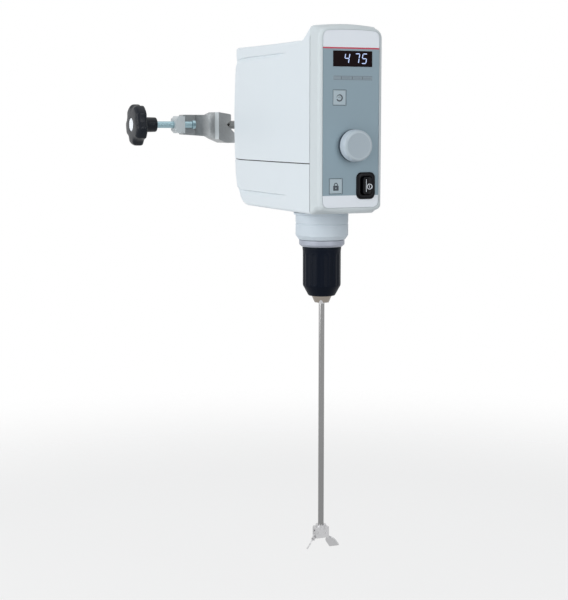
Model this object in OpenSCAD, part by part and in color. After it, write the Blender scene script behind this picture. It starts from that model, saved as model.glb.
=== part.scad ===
/* [Drive head] */
// Width of the drive head across its two sides
head_w = 70; // [69:0.5:72]
// Reach from the spindle axis forward to the front face
front_reach = 66.5; // [66:0.5:68]
// Reach from the spindle axis back to the fullest point of the rear
rear_reach = 166; // [165:0.5:170]
// Height of the front shell's top above the stand screw
front_top = 97.8; // [97:0.2:98.6]
// Height of the rear cover's top above the stand screw
cover_top = 83; // [82:0.5:84]
// Depth of the head's underside below the stand screw
head_drop = 88.5; // [88:0.5:90]
// Depth of the parting line between rear cover and lower case below the stand screw
parting_drop = 36; // [35:0.5:37]
// Depth of the front shell from its face to the seam
shell_depth = 21; // [20:0.5:22]
// Wall thickness of the moulded shells
wall = 2.6; // [2.4:0.1:2.8]

/* [Controls] */
// Radius of the speed dial at its foot
dial_r = 16; // [15:0.1:16.4]
// Height of the speed dial above the panel
dial_h = 14; // [13:0.1:15]
// Sideways offset of the speed dial from the head's middle
dial_x = 2; // [1:0.5:3]
// Depth of the speed dial's axis below the stand screw
dial_drop = 20.4; // [20:0.1:21]
// Width of the display window
window_w = 42.6; // [42:0.1:43]
// Height of the display window
window_h = 15.3; // [15:0.1:15.6]
// Width of the switch frame
switch_w = 20.5; // [20:0.1:21]
// Height of the switch frame
switch_h = 26.6; // [26:0.1:27]
// Travel of a panel key
key_travel = 0.6; // [0.4:0.1:0.7]

/* [Drive] */
// Radius of the steel spindle
spindle_r = 7.5; // [7.5:0.1:7.6]
// Module of the gear teeth
gear_module = 1.25; // [1.25:0.05:1.25]
// Teeth on the spindle gear
wheel_teeth = 48; // [48:1:48]
// Teeth on the motor pinion
pinion_teeth = 16; // [16:1:16]
// Radius of the motor can
motor_r = 21.5; // [20:0.5:21.5]
// Height of the motor can
motor_h = 62; // [50:1:68]

/* [Chuck and tool] */
// Radius of the chuck sleeve over its flutes
sleeve_r = 19.4; // [19.2:0.1:20]
// Radius of the stirring shaft
shaft_r = 3; // [3:0.05:3]
// Depth of the chuck nose's end below the stand screw
nose_drop = 183; // [182:0.5:184]
// Depth of the impeller yoke's top below the stand screw
yoke_drop = 421; // [380:1:460]
// Slope of the chuck jaws to the spindle axis, in degrees
jaw_slope = 11.5; // [11:0.5:12]
// Length of an impeller blade from its pin to its tip
blade_len = 20; // [18:0.5:22]
// Angle of the blades out from straight down, in degrees
blade_angle = 35; // [30:1:40]

/* [Boss head and rod] */
// Radius of the bore that grips a 25 mm stand rod
saddle_r = 12.6; // [12.55:0.05:12.7]
// Radius of the mounting rod
rod_r = 5; // [4.8:0.1:5]
// Sideways distance between the stand rod and the mounting rod
rod_offset = 30; // [29.5:0.5:30.5]
// Distance from the stand rod forward to the spindle axis
spindle_ahead = 265; // [260:1:268]
// Radius of the clamp screws
screw_r = 4; // [4:0.05:4]
// Radius of a star knob over its lobes
knob_r = 25; // [23:0.5:26]

/* [Hidden] */
$fn = 64;

// Fits
running = 0.05;

// Levels of the head, all measured from the stand screw
floor_z = -head_drop;
parting_z = -parting_drop;
ledge_top = 73;
ledge_low = -71.4;

// Places along the head, measured back from the spindle axis
face_y = -front_reach;
seam_y = face_y + shell_depth;
slope_top_y = -51;
slope_foot_y = -21;
ledge_start = 16;
crease_y = 36;
ledge_turn_y = 130;

// Curves and half widths of the head
half_w = head_w / 2;
mid_rear_w = 34;
band_rear_w = 32.6;
plan_corner_r = 8;
rear_edge_r = 38;
rear_bow_r = 387;
ledge_turn_r = 96;
crown_r = 350;
flat_bow_r = 100000;
long_edge_r = 3;

// Pillow-shaped nose of the front shell
nose_edge = 5;
nose_top = front_top - 1.1;
nose_low = floor_z + 1.4;
nose_crown_r = 120;
nose_bow_r = 170;
nose_top_corner = 10;
nose_low_corner = 6;

// Panel levels
panel_w = 61;
panel_top = 90.5;
panel_low = -81.2;
panel_t = 0.8;
panel_corner = 6;
window_x = 1.5;
window_z = 63.6;
timer_x = -12.6;
timer_z = 26.1;
lock_x = -16.2;
lock_z = -60;
key_w = 13.7;
key_h = 14.4;
switch_x = 16.3;
switch_z = -59.9;
dial_z = -dial_drop;
board_y = face_y + 10;

// Screw places of the case, the collar, the motor and the rod socket
pillar_x = 25;
pillar_front_y = -34;
pillar_rear_y = 118;
case_screw_r = 1.7;
collar_screw_ring = 23.5;
collar_screw_r = 1.3;
motor_screw_ring = 18;
motor_screw_r = 1.5;
socket_screw_x = 14;
socket_screw_r = 2.1;

// Hole and seat of the power inlet in the rear of the lower case
inlet_z = -57;
inlet_w = 27.4;
inlet_h = 19.8;
inlet_y = rear_y_at(inlet_z + 12) - 0.4;
inlet_flange_w = 31;
inlet_flange_h = 24;

// Neck, spindle and gears
flange_r = 28.8;
flange_low = -94.4;
collar_r = 26.8;
collar_low = -117.3;
gear_top = -70;
gear_t = 10;
plate_top = -60;
plate_t = 6;
upright_y = 118;
upright_t = 8;
motor_pilot_r = 11.4;
upper_seat_r = 16;
upper_bearing_h = 9;
lower_seat_r = 17.5;
spigot_r = 20.4;
lower_bearing_top = -95;
lower_bearing_h = 11;
spindle_top = -47;
wheel_r = gear_module * wheel_teeth / 2;
pinion_r = gear_module * pinion_teeth / 2;
motor_y = wheel_r + pinion_r;
tooth_play = 0.12;

// Chuck
ring_top = -117.7;
ring_r = 23.5;
sleeve_top = -125;
sleeve_low = -175.8;
chuck_core_r = 16;
nose_z = -nose_drop;
jaw_r = 3;
jaw_len = 26;
jaw_out = 5.2;
shaft_top = -140;
yoke_top = -yoke_drop;
pin_z = yoke_top - 9;
pin_r = 1.2;
pin_x = 4.5;

// Boss head, rod socket and clamp screws
socket_flange_t = 6;
boss_mid_h = 11.7;
pad_face = 12.75;
knob_face = 92;

function arc(cx, cy, r, a0, a1, n = 8) =
    [for (i = [0 : n]) [cx + r * cos(a0 + (a1 - a0) * i / n), cy + r * sin(a0 + (a1 - a0) * i / n)]];

// Moves children from the spindle's own frame to the shared frame of the stand rod
module at_head() translate([rod_offset, -spindle_ahead, 0]) children();

// Turns a drawing in (y, z) into a solid across the width
module across(w) rotate([90, 0, 90]) linear_extrude(w, center = true) children();

// Turns a drawing in (x, z) into a solid from front_y back to rear_y
module along(front_y, rear_y)
    translate([0, rear_y, 0]) rotate([90, 0, 0]) linear_extrude(rear_y - front_y) children();

module round_rect(w, h, r) {
    square([w - 2 * r, h], center = true);
    square([w, h - 2 * r], center = true);
    for (sx = [-1, 1], sy = [-1, 1])
        translate([sx * (w / 2 - r), sy * (h / 2 - r)]) circle(r);
}

// Side outline of the head, drawn in (y, z) and shrunk inward by g
function rear_y_at(z) = rear_reach - rear_bow_r + sqrt(pow(rear_bow_r, 2) - z * z);
module side_outline(g) {
    low_centre = [rear_y_at(-50) - rear_edge_r, floor_z + rear_edge_r];
    top_r = 2.8;
    top_centre = [rear_y_at(cover_top) - top_r, cover_top - top_r];
    sweep_r = 16;
    slope = atan2(front_top - cover_top, slope_foot_y - slope_top_y);
    polygon(concat(
        [[face_y + g, floor_z + g], [face_y + g, front_top - g]],
        arc(slope_top_y, front_top - sweep_r, sweep_r - g, 90, 90 - slope, 5),
        arc(slope_foot_y, cover_top + sweep_r, sweep_r + g, 270 - slope, 270, 5),
        arc(top_centre[0], top_centre[1], max(top_r - g, 0.1), 90, 5, 5),
        [for (i = [1 : 7]) [rear_y_at(78 - 18 * i) - g, 78 - 18 * i]],
        arc(low_centre[0], low_centre[1], rear_edge_r - g, -8, -90, 10)));
}

// Closes the right half of an outline with its mirror image
module mirrored(right)
    polygon(concat(right, [for (i = [len(right) - 1 : -1 : 0]) [-right[i][0], right[i][1]]]));

// Plan outline with tapered sides from start_y back to a rear half width, shrunk by g
module plan_outline(start_y, rear_half, g) {
    c = plan_corner_r - g;
    mirrored(concat(
        [[half_w - g, face_y + g], [half_w - g, start_y]],
        arc(rear_half - g - c, rear_reach - g - c, c, 0, 90, 6)));
}

// Outline of the full middle part of the sides, drawn in (y, z); its corners turn inward at the rear
module mid_outline(g) {
    r = ledge_turn_r - g;
    polygon(concat(
        [[face_y, ledge_low + g], [face_y, ledge_top - g]],
        arc(ledge_turn_y, ledge_top - ledge_turn_r, r, 90, 64, 5),
        arc(ledge_turn_y, ledge_low + ledge_turn_r, r, -64, -90, 5)));
}

// Outline with crowned top and bottom, drawn in (x, z): levels, crown radii and corner radii, shrunk by g
function crowned(top, low, top_bow, low_bow, top_c, low_c, g) =
    let (top_turn = asin((half_w - top_c) / (top_bow - top_c)),
         low_turn = asin((half_w - low_c) / (low_bow - low_c)),
         top_z = top - top_bow + (top_bow - top_c) * cos(top_turn),
         low_z = low + low_bow - (low_bow - low_c) * cos(low_turn))
    concat(
        arc(0, low + low_bow, low_bow - g, -90, -90 + low_turn, 4),
        arc(half_w - low_c, low_z, max(low_c - g, 0.1), -90 + low_turn, 0, 6),
        arc(half_w - top_c, top_z, max(top_c - g, 0.1), 0, 90 - top_turn, 6),
        arc(0, top - top_bow, top_bow - g, 90 - top_turn, 90, 4));
module end_outline(g)
    mirrored(crowned(front_top, floor_z, crown_r, flat_bow_r, long_edge_r, long_edge_r, g));

// Nose of the front shell: rounded round the face, and opening out to the end outline at the seam
module nose_form(g) {
    r = nose_edge - g;
    slice = 0.01;
    hull() {
        for (a = [0 : 15 : 90])
            along(face_y + nose_edge - r * cos(a), face_y + nose_edge - r * cos(a) + slice)
                mirrored(crowned(nose_top, nose_low, nose_crown_r, nose_bow_r, nose_top_corner,
                                 nose_low_corner, g + r * (1 - sin(a))));
        along(seam_y - slice, seam_y) end_outline(g);
    }
}

// Solid form of the head behind the seam; g shrinks it inward to give the cavity
module head_form(g) {
    height = front_top - floor_z;
    intersection() {
        across(head_w) side_outline(g);
        along(face_y - 1, rear_reach + 1) end_outline(g);
        translate([0, 0, floor_z]) linear_extrude(height) plan_outline(crease_y, mid_rear_w, g);
        union() {
            across(head_w) mid_outline(g);
            translate([0, 0, floor_z]) linear_extrude(height) plan_outline(ledge_start, band_rear_w, g);
        }
    }
}

// Cuts the long top and bottom edges of the rear part to a soft slope
module edge_slopes() {
    cut = 3;
    lean = atan2(half_w - band_rear_w, rear_reach - ledge_start);
    for (s = [-1, 1], z = [cover_top, floor_z])
        translate([s * half_w, ledge_start, z]) rotate([0, 0, s * lean])
            translate([0, 80, 0]) rotate([0, 45, 0]) cube([cut, 200, cut], center = true);
}

module slab(y0, y1, z0, z1) translate([-head_w, y0, z0]) cube([2 * head_w, y1 - y0, z1 - z0]);

module front_shell() {
    color([0.86, 0.89, 0.91]) at_head() difference() {
        intersection() {
            nose_form(0);
            across(head_w) side_outline(0);
        }
        intersection() {
            nose_form(wall);
            across(head_w) side_outline(wall);
        }
        // Clears the cavity's mouth at the seam
        intersection() {
            along(seam_y - 0.5, seam_y + 1) end_outline(wall);
            across(head_w) side_outline(wall);
        }
        // Recess that the membrane panel is glued into
        along(face_y - 1, face_y + panel_t) translate([0, (panel_top + panel_low) / 2])
            round_rect(panel_w, panel_top - panel_low, panel_corner);
        // Window, dial, key and switch openings
        along(face_y - 2, face_y + 6) panel_openings(0.6);
        along(face_y - 2, face_y + 6) translate([switch_x, switch_z]) square([17, 23], center = true);
    }
}

// Openings behind the membrane, drawn in (x, z); the key openings are grow wider than the keys
module panel_openings(grow) {
    translate([window_x, window_z]) square([window_w - 1.2, window_h - 1.2], center = true);
    translate([dial_x, dial_z]) circle(4.6);
    translate([timer_x, timer_z]) square([key_w + grow, key_h + grow], center = true);
    translate([lock_x, lock_z]) square([key_w + grow, key_h + grow], center = true);
}

module rear_shell(z0, z1) {
    difference() {
        intersection() {
            head_form(0);
            slab(seam_y, rear_reach + 1, z0, z1);
        }
        head_form(wall);
        edge_slopes();
    }
}

module rear_cover() {
    vent_w = 2.4;
    vent_h = 26;
    vent_pitch = 6;
    color([0.86, 0.89, 0.91]) at_head() difference() {
        union() {
            rear_shell(parting_z, front_top + 1);
            // Lip inside the parting line that locates the lower case
            intersection() {
                difference() {
                    head_form(wall);
                    head_form(wall + 1.4);
                }
                slab(seam_y + 4, rear_reach - 14, parting_z - 2, parting_z + 3);
            }
        }
        for (i = [-3 : 3])
            translate([i * vent_pitch - vent_w / 2, rear_reach - 16, 40]) cube([vent_w, 20, vent_h]);
        translate([0, rear_reach - 16, 0]) rotate([-90, 0, 0]) cylinder(r = 11, h = 20);
    }
}

module lower_case() {
    pad_t = 3.6;
    color([0.86, 0.89, 0.91]) at_head() difference() {
        union() {
            rear_shell(floor_z - 1, parting_z);
            at_pillars() pillar();
            // Flat pad that the power inlet seats on
            translate([0, inlet_y - pad_t / 2, inlet_z])
                cube([inlet_flange_w + 4, pad_t, inlet_flange_h + 4], center = true);
        }
        translate([0, 0, floor_z - 1]) cylinder(r = spigot_r, h = 12);
        translate([0, inlet_y, inlet_z]) cube([inlet_w, 60, inlet_h], center = true);
        // Flat recess round the inlet's flange
        translate([0, inlet_y + 5, inlet_z])
            cube([inlet_flange_w + 0.2, 10, inlet_flange_h + 0.2], center = true);
        at_pillars() translate([0, 0, floor_z - 1]) cylinder(r = case_screw_r, h = 50);
        at_collar_screws() translate([0, 0, floor_z - 1]) cylinder(r = collar_screw_r, h = 8);
        // Clearance for the locating lip of the rear cover
        intersection() {
            difference() {
                head_form(wall - 0.01);
                head_form(wall + 1.4);
            }
            slab(seam_y + 3.8, rear_reach - 13.8, parting_z - 2.2, parting_z + 1);
        }
    }
}

// Puts children at the four pillars of the lower case, at the three collar screws or at the motor's screws
module at_pillars() for (x = [-pillar_x, pillar_x], y = [pillar_front_y, pillar_rear_y])
    translate([x, y, 0]) children();
module at_collar_screws() for (a = [30, 150, 270])
    rotate([0, 0, a]) translate([collar_screw_ring, 0, 0]) children();
module at_motor_screws() for (a = [45 : 90 : 315])
    rotate([0, 0, a]) translate([motor_screw_ring, 0, 0]) children();

// Screw pillar that rises from the lower case's floor to the base frame
module pillar() {
    foot = floor_z + wall - 0.2;
    translate([0, 0, foot]) cylinder(r = 4.5, h = plate_top - plate_t - foot);
}

module membrane_panel() {
    color([0.56, 0.62, 0.65]) at_head() difference() {
        along(face_y, face_y + panel_t) translate([0, (panel_top + panel_low) / 2])
            round_rect(panel_w - 0.2, panel_top - panel_low - 0.2, panel_corner);
        along(face_y - 1, face_y + 2) {
            translate([window_x, window_z]) square([window_w, window_h], center = true);
            translate([dial_x, dial_z]) circle(4.6);
            translate([timer_x, timer_z]) square([key_w + 0.4, key_h + 0.4], center = true);
            translate([lock_x, lock_z]) square([key_w + 0.4, key_h + 0.4], center = true);
            translate([switch_x, switch_z]) square([18.2, 24.2], center = true);
        }
    }
}

module display_window() {
    color([0.10, 0.06, 0.08]) at_head() {
        along(face_y, face_y + panel_t) translate([window_x, window_z])
            square([window_w - 0.2, window_h - 0.2], center = true);
    }
}

// Seven-segment digit, drawn in (x, z) with its lower left corner at the origin
module digit_segments(on) {
    w = 6.4;
    h = 10.2;
    t = 1.2;
    spots = [[w / 2, h, 0], [w, h * 0.75, 1], [w, h * 0.25, 1], [w / 2, 0, 0],
             [0, h * 0.25, 1], [0, h * 0.75, 1], [w / 2, h / 2, 0]];
    for (i = on)
        translate([spots[i][0], spots[i][1]])
            square(spots[i][2] == 0 ? [w - t - 0.6, t] : [t, h / 2 - t - 0.6], center = true);
}

// Four-place numeric display that stands on the control board
module display_module() {
    color([0.15, 0.15, 0.17]) at_head() {
        along(face_y + wall + 0.4, board_y) translate([window_x, window_z]) square([38, 12.6], center = true);
        along(face_y + wall, face_y + wall + 0.4)
            for (i = [0 : 3])
                translate([window_x - 18 + 9.4 * i, window_z - 5.1])
                    digit_segments([[0, 1, 2, 3, 4, 5], [1, 2, 5, 6], [0, 1, 2], [0, 2, 3, 5, 6]][i]);
    }
}

module control_board() {
    board_t = 1.6;
    tact = 6;
    color([0.10, 0.35, 0.20]) at_head() {
        difference() {
            along(board_y, board_y + board_t) {
                translate([0, 14]) square([58, 120], center = true);
                translate([-29, -72]) square([34, 27]);
            }
            along(board_y - 1, board_y + 3) translate([dial_x, dial_z]) circle(3.6);
        }
        // Key switches under the two panel keys, and a connector
        for (k = [[timer_x, timer_z], [lock_x, lock_z]])
            along(board_y - 3.4, board_y) translate(k) square([tact, tact], center = true);
        along(board_y + board_t, board_y + board_t + 6) translate([0, 40]) square([24, 5], center = true);
    }
}

// Panel key: a cap in the membrane with a stem behind it
module panel_key(x, z) {
    cap_t = 0.6;
    color([0.60, 0.65, 0.68]) at_head() {
        along(face_y + 0.05, face_y + 0.05 + cap_t)
            translate([x, z]) square([key_w - 0.2, key_h - 0.2], center = true);
        along(face_y + 0.05 + cap_t, face_y + 6.5 - key_travel)
            translate([x, z]) square([6, 6], center = true);
    }
}
module key_timer() panel_key(timer_x, timer_z);
module key_lock() panel_key(lock_x, lock_z);

// Power switch: oval frame snapped into the shell, open at the middle for the rocker
module switch_frame() {
    frame_front = face_y - 2.2;
    color([0.07, 0.08, 0.09]) at_head() difference() {
        union() {
            intersection() {
                along(frame_front, face_y)
                    translate([switch_x, switch_z]) round_rect(switch_w, switch_h, 5.5);
                translate([switch_x, face_y + 48, switch_z]) sphere(r = 50.2);
            }
            along(face_y, face_y + 17) translate([switch_x, switch_z]) square([16.6, 22.6], center = true);
        }
        along(frame_front - 6, face_y + 11) translate([switch_x, switch_z]) round_rect(12.6, 18.6, 3.5);
    }
}

// Rocker that tilts about an upright axis inside the switch frame
rocker_depth = 3.4;
module power_rocker() {
    color([0.10, 0.11, 0.12]) at_head() translate([switch_x, face_y + rocker_depth, switch_z]) {
        rotate([0, 0, 9]) intersection() {
            translate([0, 0, -8.6]) linear_extrude(17.2) difference() {
                translate([-5.2, -7]) square([10.4, 10]);
                translate([0, -17.4]) circle(12, $fn = 64);
            }
            rotate([90, 0, 0]) translate([0, 0, -10]) linear_extrude(30) round_rect(10.4, 17.2, 3);
        }
    }
}

module speed_dial() {
    rim = 2.4;
    top_r = dial_r - 0.9;
    color([0.76, 0.77, 0.78]) at_head() translate([dial_x, face_y - 0.4, dial_z]) rotate([90, 0, 0])
        difference() {
            rotate_extrude() polygon(concat(
                [[0, 0], [dial_r - 0.8, 0], [dial_r, 0.8]],
                arc(top_r - rim, dial_h - 0.4 - rim, rim, 0, 90, 6),
                [[0, dial_h - 0.4]]));
            translate([0, 0, -1]) cylinder(r = 3, h = 7.5);
            difference() {
                translate([0, 0, -1]) cylinder(r = dial_r - 2, h = 6);
                translate([0, 0, -1]) cylinder(r = 5.4, h = 7);
            }
        }
}

module dial_encoder() {
    color([0.55, 0.56, 0.58]) at_head() translate([dial_x, 0, dial_z]) rotate([90, 0, 0]) difference() {
        union() {
            translate([-6, -6, front_reach - 20.5]) cube([12, 12, 8.7]);
            translate([0, 0, front_reach - 12]) cylinder(r = 3.5, h = 12.4);
            translate([0, 0, front_reach - 3.6]) cylinder(r = 4.5, h = 2, $fn = 6);
        }
        translate([0, 0, front_reach - 19]) cylinder(r = 3 + running, h = 30);
    }
}

module encoder_shaft() {
    color([0.78, 0.79, 0.80]) at_head() translate([dial_x, 0, dial_z]) rotate([90, 0, 0])
        translate([0, 0, front_reach - 18]) cylinder(r = 3, h = 24.9);
}

// Cast plate that carries the motor, the upper bearing and the rod socket
module base_frame() {
    color([0.66, 0.68, 0.70]) at_head() difference() {
        union() {
            translate([-30, -40, plate_top - plate_t]) cube([60, 166, plate_t]);
            translate([0, 0, plate_top - 1]) cylinder(r = upper_seat_r + 2, h = 12);
            translate([-22, upright_y, plate_top - 1]) cube([44, upright_t, 82]);
            for (x = [-22, 18]) translate([x, upright_y - 42, plate_top - 1]) rib();
        }
        translate([0, 0, plate_top]) cylinder(r = upper_seat_r, h = 20);
        translate([0, 0, plate_top - 10]) cylinder(r = 12, h = 20);
        translate([0, motor_y, plate_top - 10]) cylinder(r = motor_pilot_r, h = 20);
        translate([0, motor_y, plate_top - 10]) at_motor_screws() cylinder(r = motor_screw_r, h = 20);
        at_pillars() translate([0, 0, plate_top - 10]) cylinder(r = case_screw_r, h = 20);
        translate([0, upright_y - 1, 0]) rotate([-90, 0, 0]) cylinder(r = 8, h = 12);
        at_socket_screws() translate([0, 0, -1]) cylinder(r = socket_screw_r, h = 12);
    }
}

// Puts children at the rod socket's two screws, facing back from the upright
module at_socket_screws() for (s = [-1, 1])
    translate([s * socket_screw_x, upright_y, 0]) rotate([-90, 0, 0]) children();

// Triangular rib that braces the upright of the base frame
module rib() rotate([90, 0, 90]) linear_extrude(4) polygon([[0, 0], [43, 0], [43, 60], [36, 60]]);

module motor_can() {
    color([0.30, 0.32, 0.34]) at_head() translate([0, motor_y, plate_top]) difference() {
        union() {
            rotate_extrude() polygon([[0, 0], [motor_r, 0], [motor_r, motor_h - 2], [motor_r - 2, motor_h],
                                      [9, motor_h], [9, motor_h + 3], [0, motor_h + 3]]);
            translate([0, 0, -3]) cylinder(r = motor_pilot_r, h = 4);
            for (a = [0 : 30 : 330])
                rotate([0, 0, a]) translate([motor_r - 0.3, -1, 14]) cube([1.3, 2, motor_h - 24]);
        }
        translate([0, 0, -5]) cylinder(r = 3 + running, h = motor_h + 4);
        at_motor_screws() translate([0, 0, -1]) cylinder(r = motor_screw_r, h = 7);
    }
}

module motor_shaft() {
    color([0.80, 0.81, 0.82]) at_head() translate([0, motor_y, gear_top - gear_t - 2])
        cylinder(r = 3, h = plate_top - gear_top + gear_t + 2 + motor_h - 4);
}

// Involute half-thickness angle of a tooth at radius r
function inv(a) = tan(a) * 180 / PI - a;
function tooth_half(r, pitch_r, teeth) =
    90 / teeth + inv(20) - inv(acos(min(1, pitch_r * cos(20) / r))) - tooth_play / pitch_r * 90 / PI;
// Outline of a spur gear; one tooth is centred on the +Y direction plus turn
module gear_outline(teeth, turn) {
    pitch_r = gear_module * teeth / 2;
    tip_r = pitch_r + gear_module;
    root_r = pitch_r - 1.25 * gear_module;
    base_r = max(root_r + 0.15, pitch_r * cos(20));
    flank = [for (i = [0 : 4]) base_r + (tip_r - base_r) * i / 4];
    polygon([for (k = [0 : teeth - 1]) let (mid = 90 + turn + 360 * k / teeth)
        for (p = concat(
            [[root_r, -tooth_half(base_r, pitch_r, teeth) - 0.6]],
            [for (r = flank) [r, -tooth_half(r, pitch_r, teeth)]],
            [for (i = [4 : -1 : 0]) [flank[i], tooth_half(flank[i], pitch_r, teeth)]],
            [[root_r, tooth_half(base_r, pitch_r, teeth) + 0.6]]))
        [p[0] * cos(mid + p[1]), p[0] * sin(mid + p[1])]]);
}

module motor_pinion() {
    color([0.72, 0.66, 0.40]) at_head() translate([0, motor_y, gear_top - gear_t]) difference() {
        linear_extrude(gear_t) gear_outline(pinion_teeth, 180 + 180 / pinion_teeth);
        translate([0, 0, -1]) cylinder(r = 3, h = gear_t + 2);
    }
}

module spindle_gear() {
    color([0.90, 0.88, 0.80]) at_head() translate([0, 0, gear_top - gear_t]) difference() {
        union() {
            linear_extrude(gear_t) gear_outline(wheel_teeth, 0);
            translate([0, 0, -1.5]) cylinder(r = 12, h = gear_t + 3);
        }
        translate([0, 0, -3]) cylinder(r = spindle_r, h = gear_t + 8);
        for (z = [-5, gear_t - 2.5])
            translate([0, 0, z]) difference() {
                cylinder(r = 25, h = 7.5 - 2.5);
                translate([0, 0, -1]) cylinder(r = 12, h = 20);
            }
        for (a = [0 : 60 : 300])
            rotate([0, 0, a]) translate([18.5, 0, -3]) cylinder(r = 4.4, h = gear_t + 8);
    }
}

module spindle() {
    groove = spindle_top - 2;
    groove_w = 1.2;
    shoulder = -116.4;
    tail = -134;
    color([0.78, 0.79, 0.80]) at_head() rotate_extrude() polygon([
        [0, spindle_top], [spindle_r - 0.8, spindle_top], [spindle_r, spindle_top - 0.8],
        [spindle_r, groove], [spindle_r - 0.6, groove],
        [spindle_r - 0.6, groove - groove_w], [spindle_r, groove - groove_w],
        [spindle_r, shoulder], [spindle_r - 1.5, shoulder], [spindle_r - 1.5, tail], [0, tail]]);
}

module bearing(z_top, h, outer, inner) {
    translate([0, 0, z_top - h]) difference() {
        cylinder(r = outer - 0.01, h = h);
        translate([0, 0, -1]) cylinder(r = inner + running, h = h + 2);
        for (z = [-1, h - 0.8])
            translate([0, 0, z]) difference() {
                cylinder(r = outer - 3, h = 1.8);
                translate([0, 0, -1]) cylinder(r = inner + 3, h = 4);
            }
    }
}
module upper_bearing() color([0.62, 0.64, 0.66]) at_head()
    bearing(plate_top + upper_bearing_h, upper_bearing_h, upper_seat_r, spindle_r);
module lower_bearing() color([0.62, 0.64, 0.66]) at_head()
    bearing(lower_bearing_top, lower_bearing_h, lower_seat_r, spindle_r);

module spindle_circlip() {
    color([0.35, 0.36, 0.38]) at_head() translate([0, 0, spindle_top - 3.1]) difference() {
        cylinder(r = 9.6, h = 1);
        translate([0, 0, -1]) cylinder(r = spindle_r - 0.6, h = 3);
        translate([-2.5, 0, -1]) cube([5, 12, 3]);
    }
}

module spindle_seal() {
    color([0.12, 0.12, 0.13]) at_head() translate([0, 0, -113]) difference() {
        cylinder(r = 13, h = 7);
        translate([0, 0, -1]) cylinder(r = spindle_r + running, h = 9);
    }
}

// Turned collar under the head that houses the lower bearing
module neck_collar() {
    groove_z = -101;
    color([0.82, 0.85, 0.88]) at_head() difference() {
        union() {
            rotate_extrude() polygon([
                [0, floor_z], [flange_r, floor_z],
                [flange_r, flange_low + 0.8], [flange_r - 0.8, flange_low], [collar_r, flange_low],
                [collar_r, groove_z + 0.6], [collar_r - 0.5, groove_z + 0.4],
                [collar_r - 0.5, groove_z - 0.4], [collar_r, groove_z - 0.6],
                [collar_r, -113.2], [24.2, collar_low], [0, collar_low]]);
            translate([0, 0, floor_z - 1]) cylinder(r = spigot_r, h = 1 + wall);
        }
        translate([0, 0, lower_bearing_top - lower_bearing_h]) cylinder(r = lower_seat_r, h = 30);
        translate([0, 0, -113]) cylinder(r = 13, h = 10);
        translate([0, 0, -120]) cylinder(r = 9, h = 20);
        at_collar_screws() translate([0, 0, floor_z - 9]) cylinder(r = collar_screw_r, h = 20);
    }
}

module collar_screws() {
    depth = 8.5;
    color([0.60, 0.61, 0.63]) at_head() at_collar_screws() {
        translate([0, 0, floor_z - depth]) cylinder(r = collar_screw_r, h = depth + wall);
        translate([0, 0, floor_z + wall]) cylinder(r = 2.4, h = 1.6);
    }
}

// Metal ring at the top of the chuck, turning with the spindle
module chuck_ring() {
    color([0.60, 0.62, 0.65]) at_head() difference() {
        rotate_extrude() polygon([
            [0, ring_top], [ring_r - 0.6, ring_top], [ring_r, ring_top - 0.6], [ring_r, -122.6],
            [21, -124.7], [0, -124.7]]);
        translate([0, 0, -130]) cylinder(r = spindle_r - 1.5, h = 20);
    }
}

// Jaw bore or jaw rod, laid along one jaw's own slope
module jaw_rod(r, low, high) {
    translate([jaw_out, 0, nose_z]) rotate([0, jaw_slope, 0])
        translate([0, 0, low]) cylinder(r = r, h = high - low);
}

module chuck_body() {
    color([0.70, 0.68, 0.64]) at_head() difference() {
        rotate_extrude() polygon([
            [0, -124.7], [14.5, -124.7], [14.5, -128], [chuck_core_r, -128], [chuck_core_r, -139],
            [14.6, -139], [14.6, -146], [chuck_core_r, -146], [chuck_core_r, -160], [11.6, -172],
            [11.6, -175.9], [10.7, -175.9], [7.8, nose_z + 0.4], [7.4, nose_z], [0, nose_z]]);
        translate([0, 0, -134]) cylinder(r = spindle_r - 1.5, h = 20);
        translate([0, 0, nose_z - 1]) cylinder(r = 5.1, h = nose_drop + 1 + shaft_top);
        for (a = [0, 120, 240]) rotate([0, 0, a]) jaw_rod(jaw_r + running, -6, 42);
    }
}

// Fluted grip sleeve that is turned by hand
module chuck_sleeve() {
    flutes = 12;
    flute_r = 5.3;
    color([0.10, 0.13, 0.16]) at_head() difference() {
        rotate_extrude() polygon([
            [chuck_core_r + 0.4, sleeve_top], [sleeve_r + 0.7, sleeve_top], [sleeve_r + 0.6, -127.5],
            [sleeve_r, -130.5], [sleeve_r, -164.3], [sleeve_r - 0.4, -166], [14.2, -175.1],
            [13.6, sleeve_low], [12, sleeve_low], [12, -172.3], [chuck_core_r + 0.4, -161]]);
        for (i = [0 : flutes - 1])
            rotate([0, 0, 360 / flutes * i]) translate([sleeve_r + flute_r - 0.8, 0, 0]) {
                translate([0, 0, -164]) cylinder(r = flute_r, h = 28);
                translate([0, 0, -136]) sphere(r = flute_r);
                translate([0, 0, -164]) sphere(r = flute_r);
            }
        translate([0, 0, -145.5]) cylinder(r = chuck_core_r + 1.4, h = 6);
    }
}

// Split nut inside the sleeve that drives the jaws
module chuck_nut() {
    color([0.55, 0.52, 0.45]) at_head() translate([0, 0, -145.5]) difference() {
        cylinder(r = chuck_core_r + 1.4, h = 6);
        translate([0, 0, -1]) cylinder(r = 15, h = 8);
    }
}

module chuck_jaw(i) {
    color([0.76, 0.76, 0.78]) at_head() rotate([0, 0, 120 * (i - 1)]) intersection() {
        jaw_rod(jaw_r, -3, jaw_len);
        translate([shaft_r + running, -6, nose_z - 0.8]) cube([30, 12, 60]);
    }
}

module stirring_shaft() {
    color([0.80, 0.81, 0.82]) at_head() translate([0, 0, yoke_top - 4])
        cylinder(r = shaft_r, h = yoke_drop + 4 + shaft_top - 1);
}

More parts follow.
